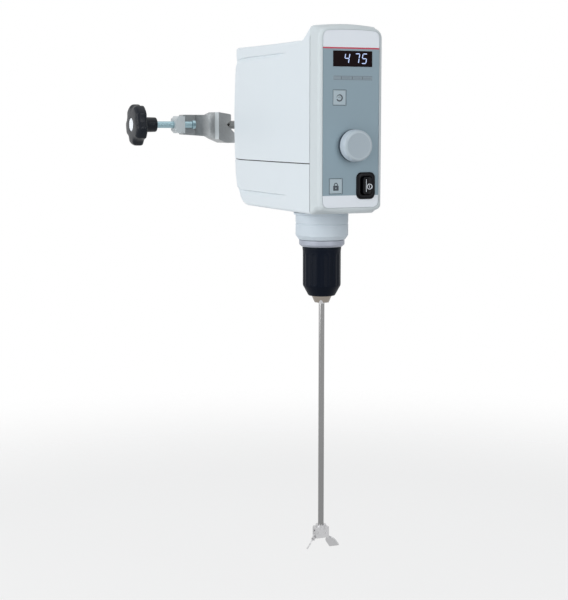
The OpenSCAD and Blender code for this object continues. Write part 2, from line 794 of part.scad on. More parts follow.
module impeller_yoke() {
    yoke_w = 15;
    yoke_d = 9;
    yoke_h = 14;
    color([0.62, 0.63, 0.65]) at_head() difference() {
        union() {
            translate([0, 0, yoke_top - yoke_h / 2 - 1]) intersection() {
                cube([yoke_w, yoke_d, yoke_h - 2], center = true);
                rotate([90, 0, 0]) cylinder(r = 9, h = 20, center = true);
            }
            translate([0, 0, yoke_top - 5]) cylinder(r = 5.5, h = 5);
        }
        translate([0, 0, yoke_top - 4]) cylinder(r = shaft_r, h = 10);
        translate([-20, -1.6, yoke_top - 30]) cube([40, 3.2, 24.5]);
        for (s = [-1, 1])
            translate([s * pin_x, 10, pin_z]) rotate([90, 0, 0]) cylinder(r = pin_r, h = 20);
    }
}

module blade_pins() {
    color([0.70, 0.71, 0.72]) at_head() for (s = [-1, 1])
        translate([s * pin_x, 4.9, pin_z]) rotate([90, 0, 0]) cylinder(r = pin_r, h = 9.8);
}

// Hinged paddle; side is -1 for the left one and 1 for the right one
module blade(side) {
    lug_t = 2.6;
    paddle_w = 13;
    pitch = 30;
    color([0.64, 0.65, 0.67]) at_head()
        translate([side * pin_x, 0, pin_z]) rotate([0, -side * blade_angle, 0]) difference() {
            union() {
                rotate([90, 0, 0]) cylinder(r = 3, h = lug_t, center = true);
                translate([-1.6, -lug_t / 2, -9]) cube([3.2, lug_t, 9]);
                rotate([0, 0, side * pitch]) intersection() {
                    translate([-0.75, -paddle_w / 2, -blade_len]) cube([1.5, paddle_w, blade_len - 7]);
                    translate([0, 0, -7 - paddle_w / 2]) rotate([0, 90, 0]) union() {
                        cylinder(r = paddle_w / 2, h = 10, center = true);
                        translate([0, -paddle_w / 2, -5]) cube([paddle_w, paddle_w, 10]);
                    }
                }
            }
            rotate([90, 0, 0]) cylinder(r = pin_r + running, h = 20, center = true);
        }
}
module blade_left() blade(-1);
module blade_right() blade(1);

// Three-pole mains inlet with its socket recess
module power_inlet() {
    back_y = inlet_y + 2.2;
    color([0.08, 0.08, 0.09]) at_head() translate([0, back_y, inlet_z]) rotate([90, 0, 0]) {
        difference() {
            union() {
                linear_extrude(2.2) round_rect(inlet_flange_w, inlet_flange_h, 3);
                linear_extrude(22) square([inlet_w - 0.4, inlet_h - 0.4], center = true);
            }
            translate([0, 0, -1]) linear_extrude(17) polygon([[-11.8, -8], [11.8, -8], [11.8, 4], [7.6, 8],
                                                              [-7.6, 8], [-11.8, 4]]);
        }
        for (p = [[-7, -2], [0, 2], [7, -2]])
            translate([p[0] - 1, p[1] - 2, 5]) cube([2, 4, 12]);
    }
}

// Mains power supply on its own board behind the motor
module power_supply() {
    color([0.18, 0.30, 0.42]) at_head() {
        translate([-27, 72, 24]) cube([54, 76, 1.6]);
        translate([-20, 80, 25.6]) cube([22, 24, 20]);
        for (y = [88, 104, 120])
            translate([14, y, 25.6]) cylinder(r = 6.5, h = 24);
        translate([-24, 112, 25.6]) cube([28, 4, 26]);
    }
}

module driver_board() {
    color([0.12, 0.36, 0.22]) at_head() {
        translate([-26, -32, 10]) cube([52, 96, 1.6]);
        for (i = [0 : 5])
            translate([-22 + 6 * i, -26, 11.6]) cube([2, 40, 16]);
        translate([-22, -26, 11.6]) cube([32, 40, 3]);
        for (y = [26, 40])
            translate([16, y, 11.6]) cylinder(r = 5, h = 18);
    }
}

// Flanged socket that carries the mounting rod out through the rear cover
module rod_socket() {
    foot_y = upright_y + upright_t;
    color([0.66, 0.68, 0.70]) at_head() translate([0, foot_y, 0]) rotate([-90, 0, 0]) difference() {
        union() {
            linear_extrude(socket_flange_t) round_rect(40, 18, 5);
            cylinder(r = 10, h = rear_reach - foot_y + 2);
        }
        translate([0, 0, -1]) cylinder(r = rod_r, h = 80);
        for (s = [-1, 1]) translate([s * socket_screw_x, 0, -1]) cylinder(r = socket_screw_r, h = 10);
    }
}

module mounting_rod() {
    rod_front_y = upright_y + upright_t + 4;
    rod_tail = 36;
    rod_len = spindle_ahead - rod_front_y + rod_tail;
    color([0.80, 0.81, 0.82]) at_head() translate([0, rod_front_y, 0]) rotate([-90, 0, 0])
        rotate_extrude()
            polygon([[0, 0], [rod_r, 0], [rod_r, rod_len - 1], [rod_r - 1, rod_len], [0, rod_len]]);
}

module rod_locknut() {
    color([0.72, 0.73, 0.75]) at_head() translate([0, rear_reach + 2, 0]) rotate([-90, 0, 0]) difference() {
        cylinder(r = 9.8, h = 6, $fn = 6);
        translate([0, 0, -1]) cylinder(r = rod_r, h = 10);
    }
}

// Plan outline of the boss head: a C round the stand rod and a block beside the mounting rod
boss_front = -13;
boss_back = 21;
boss_left = -41.3;
limb_inner = -26;
hook_right = 62;
module boss_plan() {
    translate([boss_left, -9]) square([limb_inner - boss_left, boss_back + 9]);
    translate([limb_inner - 1, 7]) square([60, boss_back - 7]);
    translate([0, boss_front]) square([27.7, boss_back - boss_front]);
    translate([20, boss_front]) square([hook_right - 20, boss_back - boss_front]);
}

// Front outline of the boss head with the notch for the mounting rod, drawn in (x, z)
module boss_face() {
    notch_tip = rod_offset - rod_r * sqrt(2);
    difference() {
        polygon([
            [boss_left, -7], [boss_left, 7], [boss_left + 3, 10],
            [limb_inner, 10], [limb_inner + 1, boss_mid_h], [6, boss_mid_h], [12.6, 14.8],
            [27, 12.4], [28.2, 11.4], [28.2, 2], [46, 2], [46, 8],
            [49, 10.5], [59, 10.5], [hook_right, 7.5], [hook_right, -17], [56, -21.6], [23, -21.6],
            [12.6, -17.2], [6, -boss_mid_h - 2], [limb_inner + 1, -boss_mid_h], [limb_inner, -10],
            [boss_left + 3, -10]]);
        polygon([[notch_tip, 0], [notch_tip + 12, 12], [46, 12], [46, -9.5], [notch_tip + 9.5, -9.5]]);
    }
}

module boss_head() {
    color([0.62, 0.64, 0.65]) difference() {
        intersection() {
            translate([0, 0, -30]) linear_extrude(60) boss_plan();
            along(-30, 40) boss_face();
        }
        // Bore round the stand rod, open to the front
        translate([0, 0, -40]) cylinder(r = saddle_r, h = 80);
        translate([limb_inner, -40, -40]) cube([saddle_r - limb_inner, 40, 80]);
        // Threaded holes of the two screws
        translate([boss_left - 1, 0, 0]) rotate([0, 90, 0]) cylinder(r = screw_r + running, h = 30);
        translate([45, 0, 0]) rotate([0, 90, 0]) cylinder(r = screw_r + running, h = 30);
    }
}

// Clamp screw set, drawn along +X with its tip at the origin
module screw_pad_shape() {
    rotate([0, 90, 0]) translate([0, 0, -4]) difference() {
        rotate_extrude() polygon([[0, 0], [4.6, 0], [5, 0.4], [5, 3.6], [4.6, 4], [0, 4]]);
        translate([0, 0, -1]) cylinder(r = 2.2 + running, h = 3.5);
    }
}

module screw_shape(len) {
    rotate([0, 90, 0]) translate([0, 0, -len]) {
        cylinder(r = screw_r, h = len - 4.2);
        cylinder(r = 2.2, h = len - 1.8);
    }
}

// Star knob of five lobes, drawn along +X with its outer face at the origin
knob_head = 13.5;
knob_len = 30.5;
module knob_shape() {
    rotate([0, 90, 0]) difference() {
        union() {
            intersection() {
                linear_extrude(knob_head + 1) difference() {
                    circle(knob_r);
                    for (i = [0 : 4]) rotate(42 + 72 * i) translate([knob_r + 5, 0]) circle(11.5);
                }
                rotate_extrude() polygon(concat(
                    [[0, 0], [14, 0]],
                    arc(knob_r - 6, 6, 6, -70, 0, 5),
                    [[knob_r, knob_head - 2], [knob_r - 2, knob_head], [0, knob_head]]));
            }
            rotate_extrude() polygon([[0, 5], [11, knob_head], [8.8, knob_head + 4], [8.6, knob_len - 1],
                                      [7.6, knob_len], [0, knob_len]]);
        }
        translate([0, 0, knob_len - 15]) cylinder(r = screw_r, h = 20);
        translate([0, 0, -1]) cylinder(r = 7.6, h = 1.8);
    }
}

module knob_cap_shape() rotate([0, 90, 0]) rotate_extrude()
    polygon([[0, -0.5], [5, -0.4], [7, 0], [7.6, 0.4], [7.6, 0.8], [0, 0.8]]);

screw_back = knob_face - knob_len + 15;
screw_len = screw_back - pad_face;
rod_tip_x = rod_offset + rod_r + 0.25;
module stand_pad() color([0.70, 0.74, 0.76]) translate([-pad_face, 0, 0]) screw_pad_shape();
module stand_screw() color([0.62, 0.72, 0.78]) translate([-pad_face, 0, 0]) screw_shape(screw_len);
module stand_knob() color([0.08, 0.08, 0.09]) translate([-knob_face, 0, 0]) knob_shape();
module stand_knob_cap() color([0.86, 0.89, 0.92]) translate([-knob_face, 0, 0]) knob_cap_shape();

// The rod screw is the same set, facing the other way
module rod_side() translate([rod_tip_x, 0, 0]) mirror([1, 0, 0]) children();
module rod_pad() color([0.70, 0.74, 0.76]) rod_side() screw_pad_shape();
module rod_screw() color([0.62, 0.72, 0.78]) rod_side() screw_shape(screw_len);
module rod_knob() color([0.08, 0.08, 0.09]) rod_side() translate([pad_face - knob_face, 0, 0]) knob_shape();
module rod_knob_cap() color([0.86, 0.89, 0.92]) rod_side()
    translate([pad_face - knob_face, 0, 0]) knob_cap_shape();

// Screws that come up through the lower case's pillars into the base frame
module case_screws() {
    color([0.55, 0.56, 0.58]) at_head() at_pillars() translate([0, 0, floor_z - 0.6]) {
        cylinder(r = case_screw_r, h = plate_top - floor_z);
        translate([0, 0, -1.4]) cylinder(r = 3, h = 2);
    }
}

// Screws of the motor and of the rod socket
module frame_screws() {
    color([0.55, 0.56, 0.58]) at_head() {
        translate([0, motor_y, plate_top - plate_t]) at_motor_screws() {
            cylinder(r = motor_screw_r, h = 11);
            translate([0, 0, -1.8]) cylinder(r = 2.8, h = 1.8);
        }
        at_socket_screws() {
            cylinder(r = socket_screw_r, h = upright_t + socket_flange_t);
            translate([0, 0, upright_t + socket_flange_t]) cylinder(r = 3.6, h = 2.4);
        }
    }
}

front_shell();
rear_cover();
lower_case();
membrane_panel();
display_window();
display_module();
control_board();
key_timer();
key_lock();
switch_frame();
power_rocker();
speed_dial();
dial_encoder();
encoder_shaft();
base_frame();
motor_can();
motor_shaft();
motor_pinion();
spindle_gear();
spindle();
upper_bearing();
lower_bearing();
spindle_circlip();
spindle_seal();
neck_collar();
collar_screws();
chuck_ring();
chuck_body();
chuck_sleeve();
chuck_nut();
chuck_jaw(1);  // chuck_jaw_1
chuck_jaw(2);  // chuck_jaw_2
chuck_jaw(3);  // chuck_jaw_3
stirring_shaft();
impeller_yoke();
blade_left();
blade_right();
blade_pins();
power_inlet();
power_supply();
driver_board();
rod_socket();
mounting_rod();
rod_locknut();
boss_head();
stand_pad();
stand_screw();
stand_knob();
stand_knob_cap();
rod_pad();
rod_screw();
rod_knob();
rod_knob_cap();
case_screws();
frame_screws();
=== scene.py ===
import bpy
import bmesh
import math
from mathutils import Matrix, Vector
from mathutils.geometry import delaunay_2d_cdt


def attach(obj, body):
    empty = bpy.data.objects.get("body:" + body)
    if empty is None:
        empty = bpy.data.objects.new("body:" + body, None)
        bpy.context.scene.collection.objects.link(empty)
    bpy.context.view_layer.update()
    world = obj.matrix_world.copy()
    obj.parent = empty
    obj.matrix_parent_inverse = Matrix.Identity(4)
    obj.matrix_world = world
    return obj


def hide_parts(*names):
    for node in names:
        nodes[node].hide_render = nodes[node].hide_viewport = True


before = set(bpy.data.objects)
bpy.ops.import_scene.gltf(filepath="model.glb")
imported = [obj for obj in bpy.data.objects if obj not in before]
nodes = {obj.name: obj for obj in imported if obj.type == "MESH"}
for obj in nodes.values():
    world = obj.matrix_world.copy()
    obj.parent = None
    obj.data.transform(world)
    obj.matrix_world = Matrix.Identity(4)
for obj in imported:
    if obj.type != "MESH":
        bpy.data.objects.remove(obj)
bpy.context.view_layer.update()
scene = bpy.context.scene
print("frame loaded:", len(nodes), "nodes")


def addObject(name, data, place=None, forward=None):
    thing = bpy.data.objects.new(name, data)
    scene.collection.objects.link(thing)
    if place:
        thing.location = place
    if forward:
        thing.rotation_euler = Vector(forward).to_track_quat("-Z", "Y").to_euler()
    return thing


# camera, a little to the left of the head and level with the clamp
cameraSetup = {"place": (-0.56896, -1.54431, -0.00014), "forward": (0.39551536, 0.90962754, -0.1270643), "lens": 86.70}
cameraData = bpy.data.cameras.new("viewCamera")
cameraData.lens = cameraSetup["lens"]
cameraData.sensor_width = 36.0
cameraData.sensor_fit = "HORIZONTAL"
cameraData.clip_end = 50.0
scene.camera = addObject("viewCamera", cameraData, cameraSetup["place"], cameraSetup["forward"])
scene.view_settings.view_transform = "Standard"
print("camera placed")

millimetre = 0.001
rodOffset, spindleAhead = 30.0, 265.0  # stand rod to the head's middle, and forward to the spindle


def atHead(x, y, z):  # from the spindle's own frame in mm to metres
    return Vector(((x + rodOffset) * millimetre, (y - spindleAhead) * millimetre, z * millimetre))


def atRod(x, y, z):
    return Vector((x, y, z)) * millimetre


def fromScreen(r, g, b):  # a colour as a screen shows it, turned to the linear values of a shader
    def linear(v):
        v = v / 255.0
        return v / 12.92 if v <= 0.04045 else ((v + 0.055) / 1.055) ** 2.4
    return (linear(r), linear(g), linear(b))


# shader helpers: an input takes a value, or the output that is linked to it
def feed(tree, node, inputs):
    for key, value in inputs.items():
        if isinstance(value, bpy.types.NodeSocket):
            tree.links.new(value, node.inputs[key])
        else:
            node.inputs[key].default_value = value
    return node


def addNode(tree, kind, inputs=None, **settings):
    node = tree.nodes.new("ShaderNode" + kind)
    for key, value in settings.items():
        setattr(node, key, value)
    return feed(tree, node, inputs or {})


# finishes: every one has its own grain, colour drift and roughness drift
def finish(name, colour, drift=0.02, rough=(0.4, 0.5), metal=0.0, grain=900.0, stretch=(1.0, 1.0, 1.0),
           bump=0.1, bumpDepth=0.00005, driftScale=30.0, specular=0.5, glow=0.0, speckle=0.0):
    material = bpy.data.materials.new(name)
    material.use_nodes = True
    tree = material.node_tree
    shader = tree.nodes["Principled BSDF"]
    where = addNode(tree, "TexCoord").outputs["Object"]
    where = addNode(tree, "Mapping", {"Scale": stretch, "Vector": where}).outputs["Vector"]
    broad = addNode(tree, "TexNoise", {"Scale": driftScale, "Detail": 4.0, "Vector": where}).outputs["Fac"]
    fine = addNode(tree, "TexNoise", {"Scale": grain, "Detail": 3.0, "Vector": where}).outputs["Fac"]
    low = [max(0.0, c * (1.0 - drift)) for c in colour]
    high = [min(1.0, c * (1.0 + drift)) for c in colour]
    shade = addNode(tree, "Mix", {0: broad, 6: (*low, 1.0), 7: (*high, 1.0)}, data_type="RGBA").outputs[2]
    if speckle > 0.0:  # darker pits and specks of a cast or worn face
        spots = addNode(tree, "ValToRGB", {"Fac": fine})
        for element, place, level in zip(spots.color_ramp.elements, (0.36, 0.52), (1.0 - speckle, 1.0)):
            element.position = place
            element.color = (level, level, level, 1.0)
        shade = addNode(tree, "Mix", {0: 1.0, 6: shade, 7: spots.outputs["Color"]}, data_type="RGBA",
                        blend_type="MULTIPLY").outputs[2]
    spread = addNode(tree, "MapRange", {"From Min": 0.3, "From Max": 0.7, "To Min": rough[0], "To Max": rough[1],
                                        "Value": broad})
    ripple = addNode(tree, "Bump", {"Strength": bump, "Distance": bumpDepth, "Height": fine})
    feed(tree, shader, {"Base Color": shade, "Metallic": metal, "Specular IOR Level": specular,
                        "Roughness": spread.outputs["Result"], "Normal": ripple.outputs["Normal"]})
    if glow > 0.0:
        feed(tree, shader, {"Emission Color": (*colour, 1.0), "Emission Strength": glow})
    return material


moulded = {"drift": 0.012, "grain": 2600.0, "bump": 0.25, "bumpDepth": 0.00003, "driftScale": 14.0}
dialSkin = {"drift": 0.02, "rough": (0.4, 0.5), "grain": 2400.0, "bump": 0.3, "bumpDepth": 0.00004}
inked = {"rough": (0.36, 0.44), "grain": 3200.0}
drawn = {"drift": 0.05, "metal": 1.0, "grain": 60.0, "bump": 0.08, "bumpDepth": 0.00002, "driftScale": 12.0}
machined = {"metal": 1.0, "grain": 40.0, "bump": 0.15, "bumpDepth": 0.00003}
looks = {
    "satinHousing": dict(moulded, colour=fromScreen(217, 225, 230), rough=(0.36, 0.44), specular=0.35),
    "shellHousing": dict(moulded, colour=fromScreen(204, 212, 215), rough=(0.42, 0.5), specular=0.3),
    "printedMembrane": dict(colour=fromScreen(139, 159, 170), drift=0.03, rough=(0.4, 0.48), grain=3200.0, bump=0.2,
                            bumpDepth=0.00002, driftScale=20.0, specular=0.25),
    "whitePrint": dict(colour=fromScreen(222, 228, 235), drift=0.01, rough=(0.34, 0.42), grain=3200.0, bump=0.2,
                       bumpDepth=0.00002),
    "redPrint": dict(colour=fromScreen(178, 22, 62), drift=0.04, rough=(0.34, 0.42), grain=3200.0),
    "linePrint": dict(inked, colour=fromScreen(88, 103, 114), drift=0.05),
    "darkPrint": dict(inked, colour=fromScreen(28, 42, 54), drift=0.06),
    "barPrint": dict(inked, colour=fromScreen(122, 138, 148), drift=0.04),
    "keyFilm": dict(colour=fromScreen(157, 174, 183), drift=0.03, rough=(0.32, 0.4), grain=3000.0),
    "smokedWindow": dict(colour=fromScreen(24, 13, 15), drift=0.1, rough=(0.16, 0.24), specular=0.02),
    "litSegment": dict(colour=fromScreen(178, 196, 236), glow=0.45),
    "switchBlack": dict(colour=fromScreen(7, 8, 13), drift=0.15, rough=(0.3, 0.4), specular=0.1, grain=1800.0,
                        bump=0.3, bumpDepth=0.00004),
    "dialFace": dict(dialSkin, colour=fromScreen(160, 173, 182)),
    # partly painted light: the rim's mid grey grades the paler side into the darker face
    "dialRimHalfLit": dict(dialSkin, colour=fromScreen(174, 186, 194)),
    # painted shade: the dark band at the dial's foot stands for the shadow in the gap under the dial
    "dialFootShade": dict(colour=fromScreen(44, 58, 72), drift=0.06, rough=(0.45, 0.55), grain=1500.0),
    # partly the dial's paler plastic, partly painted light falling on its side
    "dialSidePaleAndLit": dict(dialSkin, colour=fromScreen(190, 201, 210)),
    "polishedSteel": dict(drawn, colour=(0.27, 0.27, 0.27), rough=(0.08, 0.14), stretch=(4.0, 4.0, 160.0)),
    "rodSteel": dict(drawn, colour=(0.6, 0.59, 0.57), rough=(0.14, 0.24), stretch=(4.0, 160.0, 4.0)),
    "turnedSteel": dict(machined, colour=(0.55, 0.55, 0.56), drift=0.06, rough=(0.28, 0.4), stretch=(4.0, 4.0, 240.0),
                        driftScale=16.0),
    "noseSteel": dict(machined, colour=(0.32, 0.285, 0.25), drift=0.18, rough=(0.2, 0.32), stretch=(5.0, 5.0, 260.0),
                      driftScale=18.0),
    # painted light: a paler copy of the cast finish for the lit block and strip of the boss
    "castPaleLit": dict(colour=(0.62, 0.67, 0.69), drift=0.04, rough=(0.4, 0.52), metal=0.25, bump=0.3,
                     bumpDepth=0.00006, driftScale=50.0),
    "castAlloy": dict(colour=(0.38, 0.4, 0.41), drift=0.1, rough=(0.38, 0.52), metal=0.5, grain=700.0, bump=0.5,
                      bumpDepth=0.00012, driftScale=60.0, speckle=0.12),
    "zincPlate": dict(colour=(0.32, 0.46, 0.51), drift=0.1, rough=(0.28, 0.38), metal=1.0, grain=300.0,
                      stretch=(30.0, 4.0, 4.0), bumpDepth=0.00003, driftScale=40.0),
    "knobBlack": dict(colour=fromScreen(13, 20, 29), drift=0.15, rough=(0.28, 0.38), grain=1600.0, bump=0.3,
                      specular=0.22),
    "capWhite": dict(colour=fromScreen(240, 245, 250), rough=(0.3, 0.38), grain=2000.0),
    "gripPlastic": dict(colour=fromScreen(8, 15, 27), drift=0.12, rough=(0.36, 0.46), specular=0.07, grain=2200.0,
                        bump=0.4, bumpDepth=0.00006),
    "collarPaint": dict(colour=fromScreen(200, 210, 218), rough=(0.5, 0.6), specular=0.3, grain=60.0,
                        stretch=(6.0, 6.0, 200.0), bumpDepth=0.00002),
    "satinRing": dict(colour=fromScreen(160, 165, 177), drift=0.03, rough=(0.42, 0.52), metal=0.2, grain=50.0,
                      stretch=(6.0, 6.0, 240.0), bump=0.12, bumpDepth=0.00002),
    "motorPaint": dict(colour=fromScreen(70, 74, 80), drift=0.08, metal=0.3, grain=800.0),
    "boardGreen": dict(colour=fromScreen(38, 96, 62), drift=0.1, rough=(0.3, 0.45), grain=500.0, speckle=0.3),
    "gearNylon": dict(colour=fromScreen(232, 228, 208), drift=0.03, rough=(0.4, 0.55)),
    "gearBrass": dict(colour=(0.62, 0.5, 0.24), drift=0.08, rough=(0.25, 0.4), metal=1.0, grain=300.0),
    # rubber of the spindle seal, also used for the dark strips that are painted shade in the case's gaps
    "sealRubberAndGapShade": dict(colour=fromScreen(24, 24, 26), drift=0.15, rough=(0.6, 0.75), bump=0.3),
    "displayBlock": dict(colour=fromScreen(40, 40, 44), drift=0.1),
}
finishes = {name: finish(name, **look) for name, look in looks.items()}
print("finishes mixed:", len(finishes))

nodeFinish = {
    "satinHousing": "rear_cover lower_case",
    "shellHousing": "front_shell",
    "printedMembrane": "membrane_panel",
    "smokedWindow": "display_window",
    "displayBlock": "display_module",
    "boardGreen": "control_board power_supply driver_board",
    "keyFilm": "key_timer key_lock",
    "switchBlack": "switch_frame power_rocker power_inlet",
    "dialSidePaleAndLit": "speed_dial",
    "castAlloy": "base_frame rod_socket boss_head",
    "motorPaint": "motor_can",
    "polishedSteel": "motor_shaft spindle stirring_shaft",
    "gearBrass": "motor_pinion chuck_nut",
    "gearNylon": "spindle_gear",
    "turnedSteel": "dial_encoder encoder_shaft upper_bearing lower_bearing spindle_circlip collar_screws "
                   "chuck_jaw_1 chuck_jaw_2 chuck_jaw_3 impeller_yoke blade_left blade_right blade_pins "
                   "case_screws frame_screws",
    "sealRubberAndGapShade": "spindle_seal",
    "collarPaint": "neck_collar",
    "satinRing": "chuck_ring",
    "noseSteel": "chuck_body",
    "gripPlastic": "chuck_sleeve",
    "rodSteel": "mounting_rod",
    "zincPlate": "rod_locknut stand_pad stand_screw rod_pad rod_screw",
    "knobBlack": "stand_knob rod_knob",
    "capWhite": "stand_knob_cap rod_knob_cap",
}
finishOf = {nodeName: name for name, nodeNames in nodeFinish.items() for nodeName in nodeNames.split()}
for nodeName, name in finishOf.items():
    mesh = nodes[nodeName].data
    mesh.materials.clear()
    mesh.materials.append(finishes[name])
print("solids finished:", len(finishOf))

# shape helpers: outlines are lists of points in mm, solids are closed meshes
def arcPoints(cx, cy, radius, start, end, steps):
    return [(cx + radius * math.cos(math.radians(start + (end - start) * i / steps)),
             cy + radius * math.sin(math.radians(start + (end - start) * i / steps))) for i in range(steps + 1)]


def rounded(points, radii, steps=4):  # softens the corners of a closed outline
    result = []
    for i, point in enumerate(points):
        radius = radii[i] if isinstance(radii, (list, tuple)) else radii
        here, back, ahead = Vector(point), Vector(points[i - 1]), Vector(points[(i + 1) % len(points)])
        toBack, toAhead = back - here, ahead - here
        opening = toBack.angle(toAhead)
        if radius <= 0.0 or opening > 3.12:
            result.append(tuple(here))
            continue
        reach = min(radius / math.tan(opening / 2), 0.49 * toBack.length, 0.49 * toAhead.length)
        radius = reach * math.tan(opening / 2)
        toBack.normalize()
        toAhead.normalize()
        centre = here + (toBack + toAhead).normalized() * (radius / math.sin(opening / 2))
        first, last = here + toBack * reach - centre, here + toAhead * reach - centre
        start = math.atan2(first.y, first.x)
        sweep = (math.atan2(last.y, last.x) - start + math.pi) % (2 * math.pi) - math.pi
        result += [(centre.x + radius * math.cos(start + sweep * k / steps),
                    centre.y + radius * math.sin(start + sweep * k / steps)) for k in range(steps + 1)]
    return result


def rectangle(x, z, w, h, corner=0.0, steps=4):
    box = [(x - w / 2, z - h / 2), (x + w / 2, z - h / 2), (x + w / 2, z + h / 2), (x - w / 2, z + h / 2)]
    return rounded(box, corner, steps)


def facing(outline, y):  # an outline in (x, z) stood up at a depth y
    return [(x, y, z) for x, z in outline]


def ringOf(radii, height):  # a ring about the z axis with a radius for each of its points
    count = len(radii)
    return [(r * math.cos(2 * math.pi * i / count), r * math.sin(2 * math.pi * i / count), height)
            for i, r in enumerate(radii)]


def headAt(cx, cy):  # the place function of a piece that stands at (cx, cy) in the head
    return lambda x, y, z: atHead(cx + x, cy + y, z)


def makePiece(name, points, faces, place=atHead):
    mesh = bpy.data.meshes.new(name)
    mesh.from_pydata([place(*p) for p in points], [], faces)
    shape = bmesh.new()
    shape.from_mesh(mesh)
    bmesh.ops.remove_doubles(shape, verts=shape.verts, dist=2e-7)
    bmesh.ops.recalc_face_normals(shape, faces=shape.faces)
    shape.to_mesh(mesh)
    shape.free()
    return addObject(name, mesh)


def ringSolid(name, rings, place=atHead, loop=False):  # rings of equal length, joined one to the next and capped
    count = len(rings[0])
    points = [p for ring in rings for p in ring]
    faces = []
    for k in range(len(rings) - (0 if loop else 1)):
        a, b = k * count, ((k + 1) % len(rings)) * count
        faces += [(a + i, a + (i + 1) % count, b + (i + 1) % count, b + i) for i in range(count)]
    if not loop:
        last = (len(rings) - 1) * count
        faces += [tuple(range(count)), tuple(last + i for i in range(count))]
    return makePiece(name, points, faces, place)


def plate(name, outline, front, back, place=atHead):  # outline in (x, z), thick from front to back along y
    return ringSolid(name, [facing(outline, front), facing(outline, back)], place)


def framed(name, outer, inner, front, back):  # a flat frame between two outlines
    return ringSolid(name, [facing(outer, front), facing(inner, front), facing(inner, back), facing(outer, back)],
                     loop=True)


def turned(name, profile, steps=72, place=atHead):  # closed profile of (radius, height) turned about the z axis
    points, first, faces = [], [], []
    for radius, height in profile:
        first.append(len(points))
        if radius < 1e-6:
            points.append((0.0, 0.0, height))
        else:
            points += ringOf([radius] * steps, height)
    for k in range(len(profile)):
        after = (k + 1) % len(profile)
        a, b = first[k], first[after]
        onAxis, nextOnAxis = profile[k][0] < 1e-6, profile[after][0] < 1e-6
        for i in range(steps):
            j = (i + 1) % steps
            if onAxis and nextOnAxis:
                break
            if onAxis:
                faces.append((a, b + j, b + i))
            elif nextOnAxis:
                faces.append((a + i, a + j, b))
            else:
                faces.append((a + i, a + j, b + j, b + i))
    return makePiece(name, points, faces, place)


def stroke(name, path, widths, front, back):  # a printed line along a path in (x, z)
    count = len(path)
    left, right = [], []
    for i, (x, z) in enumerate(path):
        before, after = path[max(i - 1, 0)], path[min(i + 1, count - 1)]
        along = Vector((after[0] - before[0], after[1] - before[1])).normalized()
        width = widths[i] if isinstance(widths, (list, tuple)) else widths
        left.append((x - along.y * width / 2, z + along.x * width / 2))
        right.append((x + along.y * width / 2, z - along.x * width / 2))
    return ringSolid(name, [facing((a, b), front) + facing((b, a), back) for a, b in zip(left, right)])


def settle(piece):  # turns a piece's modifiers into its own mesh
    bpy.context.view_layer.update()
    mesh = bpy.data.meshes.new_from_object(piece.evaluated_get(bpy.context.evaluated_depsgraph_get()))
    piece.modifiers.clear()
    piece.data = mesh


def carve(piece, cutters):  # takes every cutter out of a piece
    for cutter in cutters:
        change = piece.modifiers.new("cut", "BOOLEAN")
        change.object = cutter
        change.operation = "DIFFERENCE"
        change.solver = "EXACT"
        settle(piece)
    for cutter in cutters:
        bpy.data.objects.remove(cutter)


def gather(piece, extras, name=None):  # adds the closed shells of other pieces to a piece
    shape = bmesh.new()
    for part in [piece] + extras:
        shape.from_mesh(part.data)
    shape.to_mesh(piece.data)
    shape.free()
    for extra in extras:
        bpy.data.objects.remove(extra)
    if name:
        piece.name = name
    return piece


def soften(piece, width, angle):
    change = piece.modifiers.new("soften", "BEVEL")
    change.width = width * millimetre
    change.segments = 2
    change.limit_method = "ANGLE"
    change.angle_limit = math.radians(angle)
    change.harden_normals = False
    settle(piece)


def paint(piece, finishNames, choose):  # several finishes on one piece; choose gives each face its number
    for finishName in finishNames:
        piece.data.materials.append(finishes[finishName])
    for face in piece.data.polygons:
        face.material_index = choose(face)


def dress(piece, finishName, body, replaced=(), angle=34.0):
    if not piece.data.materials:
        piece.data.materials.append(finishes[finishName])
    for face in piece.data.polygons:
        face.use_smooth = True
    piece.data.set_sharp_from_angle(angle=math.radians(angle))
    weigh = piece.modifiers.new("weigh", "WEIGHTED_NORMAL")
    weigh.keep_sharp = True
    settle(piece)
    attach(piece, body)
    if replaced:
        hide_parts(*replaced)


def bevelledCopy(node, finishName, body, width, angle=35.0, cutters=()):
    mesh = nodes[node].data.copy()
    mesh.materials.clear()
    shape = bmesh.new()
    shape.from_mesh(mesh)
    bmesh.ops.remove_doubles(shape, verts=shape.verts, dist=1e-6)
    bmesh.ops.dissolve_limit(shape, angle_limit=math.radians(0.6), verts=shape.verts, edges=shape.edges)
    shape.to_mesh(mesh)
    shape.free()
    piece = addObject(node + ".shape", mesh)
    carve(piece, cutters)
    soften(piece, width, angle)
    dress(piece, finishName, body, (node,))
    return piece


# front shell: rounded round the face, opening out to the seam, with its recess and openings
shellSizes = {"half": 35.0, "face": -66.5, "seam": -45.95, "edge": 5.0, "noseEnd": -61.5, "wall": 2.4,
              "top": (96.7, 97.8), "low": (-87.1, -88.5), "topBow": (120.0, 350.0), "lowBow": (170.0, 6000.0),
              "topCorner": (10.0, 3.0), "lowCorner": (6.0, 3.0), "slopeTop": -51.0, "sweep": 16.0}


def smooth(t):
    t = max(0.0, min(1.0, t))
    return t * t * (3.0 - 2.0 * t)


